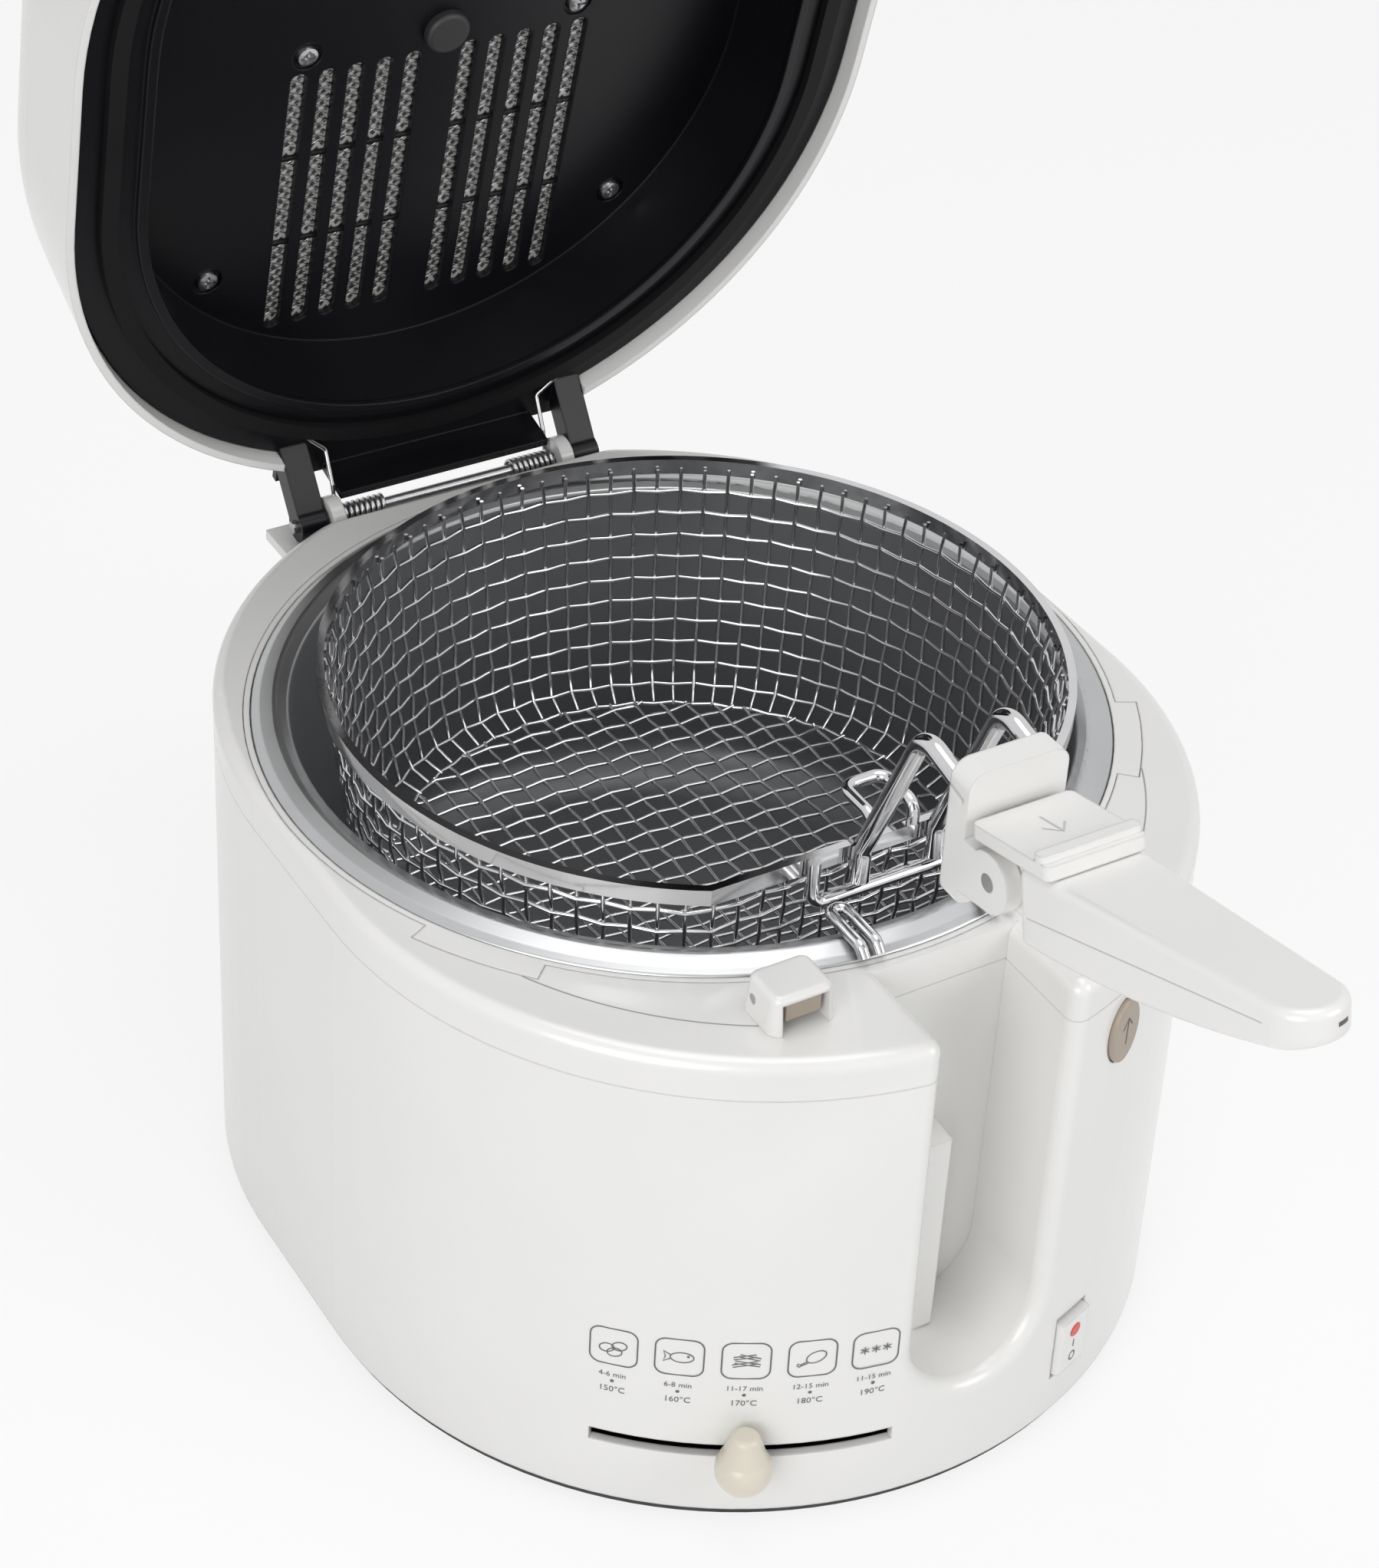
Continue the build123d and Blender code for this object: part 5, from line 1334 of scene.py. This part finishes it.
@dataclass
class Studio:
    """Camera, lights and plain white ground.

    Attributes:
        target: Point the measured view is taken about, in metres.
        distance: Distance of the camera from it.
        azimuth: Camera's angle to the side, in degrees.
        elevation: Camera's height angle, in degrees.
        roll: Camera's tilt, in degrees.
        focal: Focal length in pixels of the photograph.
        middle: Pixel of the target in the photograph.
        image: Size of the photograph in pixels.
        sensor: Height of the sensor in millimetres.
        lamps: Name, place, width and power of each soft lamp.
        aim: Point that the lamps face.
        floor_half: Half the width of the floor.
        floor_glow: Share of plain white in the floor, as seen.
        sky: Strength of the surroundings' light.
    """

    target: Point3 = (-0.0025, 0.0, 0.166)
    distance: float = 1.0
    azimuth: float = -32.0
    elevation: float = 35.31
    roll: float = 2.97
    focal: float = 4563.0
    middle: Point2 = (881.1, 917.4)
    image: Point2 = (1798.0, 2044.0)
    sensor: float = 36.0
    lamps: ClassVar[tuple[tuple[str, Point3, float, float], ...]] = (
        ("left_softbox", (-0.95, -0.75, 0.6), 0.9, 7.2),
        ("front_softbox", (0.85, -1.2, 0.85), 0.9, 7.0),
        ("top_softbox", (0.1, 0.0, 1.7), 1.2, 9.5),
    )
    aim: Point3 = (0.0, 0.0, 0.15)
    floor_half: float = 6.0
    floor_glow: float = 0.82
    sky: float = 0.36

    def camera(self) -> None:
        """Sets the camera at the photograph's angle."""
        a, e, r = (math.radians(v) for v in (self.azimuth, self.elevation, self.roll))
        back = Vector((math.sin(a) * math.cos(e), -math.cos(a) * math.cos(e), math.sin(e)))
        place = Vector(self.target) + back * self.distance
        right = (-back).cross(Vector((0, 0, 1))).normalized()
        up = right.cross(-back)
        right, up = right * math.cos(r) + up * math.sin(r), up * math.cos(r) - right * math.sin(r)
        dx = (self.image[0] / 2 - self.middle[0]) / self.focal
        dy = (self.middle[1] - self.image[1] / 2) / self.focal
        look = (-back + right * dx + up * dy).normalized()
        right = (right - look * right.dot(look)).normalized()
        up = right.cross(look)
        data = bpy.data.cameras.new("camera")
        data.sensor_fit, data.sensor_height, data.sensor_width = "VERTICAL", self.sensor, self.sensor
        data.lens = self.focal / self.image[1] * self.sensor
        data.clip_start, data.clip_end = 0.05, 20.0
        obj = new_object("camera", data)
        obj.matrix_world = Matrix.Translation(place) @ Matrix((right, up, -look)).transposed().to_4x4()
        bpy.context.scene.camera = obj

    def lights(self) -> None:
        """Sets the soft lamps."""
        for name, spot, size, power in self.lamps:
            data = bpy.data.lights.new(name, "AREA")
            data.shape, data.size, data.energy = "DISK", size, power
            turn = (Vector(self.aim) - Vector(spot)).to_track_quat("-Z", "Y")
            new_object(name, data).matrix_world = Matrix.Translation(spot) @ turn.to_matrix().to_4x4()

    def seen(self, tree: bpy.types.NodeTree) -> bpy.types.NodeSocket:
        """Tells the rays that see the background.

        Args:
            tree: Tree to add to.

        Returns:
            A socket that is 1 for them.
        """
        path = add_node(tree, "ShaderNodeLightPath").outputs
        total = path["Is Camera Ray"]
        for kind in ("Is Glossy Ray", "Is Transmission Ray"):
            total = add_node(tree, "ShaderNodeMath", {0: total, 1: path[kind]}, operation="MAXIMUM").outputs["Value"]
        return total

    def blend(self, tree: bpy.types.NodeTree, share: bpy.types.NodeSocket, plain: bpy.types.Node,
              bright: bpy.types.Node) -> None:
        """Leads a mix of two shaders to a tree's output.

        Args:
            tree: Tree of the floor or the surroundings.
            share: Socket of the bright shader's share.
            plain: Shader that lights the object.
            bright: Shader that is seen.
        """
        both = {"Fac": share, 1: plain.outputs[0], 2: bright.outputs[0]}
        mix = add_node(tree, "ShaderNodeMixShader", both)
        feed(tree, tree.get_output_node("ALL"), {"Surface": mix.outputs["Shader"]})

    def ground(self) -> None:
        """Lays the floor and the white surroundings."""
        half = self.floor_half
        data = bpy.data.meshes.new("floor")
        data.from_pydata([(-half, -half, 0), (half, -half, 0), (half, half, 0), (-half, half, 0)], [], [(0, 1, 2, 3)])
        floor = new_object("floor", data)
        mat = bpy.data.materials.new("pale_floor")
        mat.use_nodes = True
        tree = mat.node_tree
        shader = tree.nodes["Principled BSDF"]
        feed(tree, shader, {"Base Color": (0.8, 0.8, 0.8, 1.0), "Roughness": 0.9})
        share = add_node(tree, "ShaderNodeMath", {0: self.seen(tree), 1: self.floor_glow}, operation="MULTIPLY")
        self.blend(tree, share.outputs["Value"], shader, add_node(tree, "ShaderNodeEmission"))
        data.materials.append(mat)
        world = bpy.data.worlds.new("studio")
        world.use_nodes = True
        bpy.context.scene.world = world
        tree = world.node_tree
        white = (1.0, 1.0, 1.0, 1.0)
        plain = tree.nodes["Background"]
        feed(tree, plain, {"Color": white, "Strength": self.sky})
        bright = add_node(tree, "ShaderNodeBackground", {"Color": white, "Strength": 1.0})
        self.blend(tree, self.seen(tree), plain, bright)

    def build(self) -> None:
        """Sets up the whole studio."""
        self.camera()
        self.lights()
        self.ground()
        bpy.context.scene.view_settings.view_transform = "Standard"


def main() -> None:
    """Builds the classes in order and reports each piece."""
    logging.basicConfig(level=logging.INFO, format="%(name)s %(message)s")
    Studio().build()
    kit = Kit(WireTool(), ScatterTool())
    for part in (Hull(), HeatingUnit(), Controls(), Hinge(), Lid(), Basket(), Handle()):
        part.dress()
        for piece in part.build(kit):
            LOG.info("built %s with %d faces", piece.name, len(piece.data.polygons))


if __name__ == "__main__":
    main()
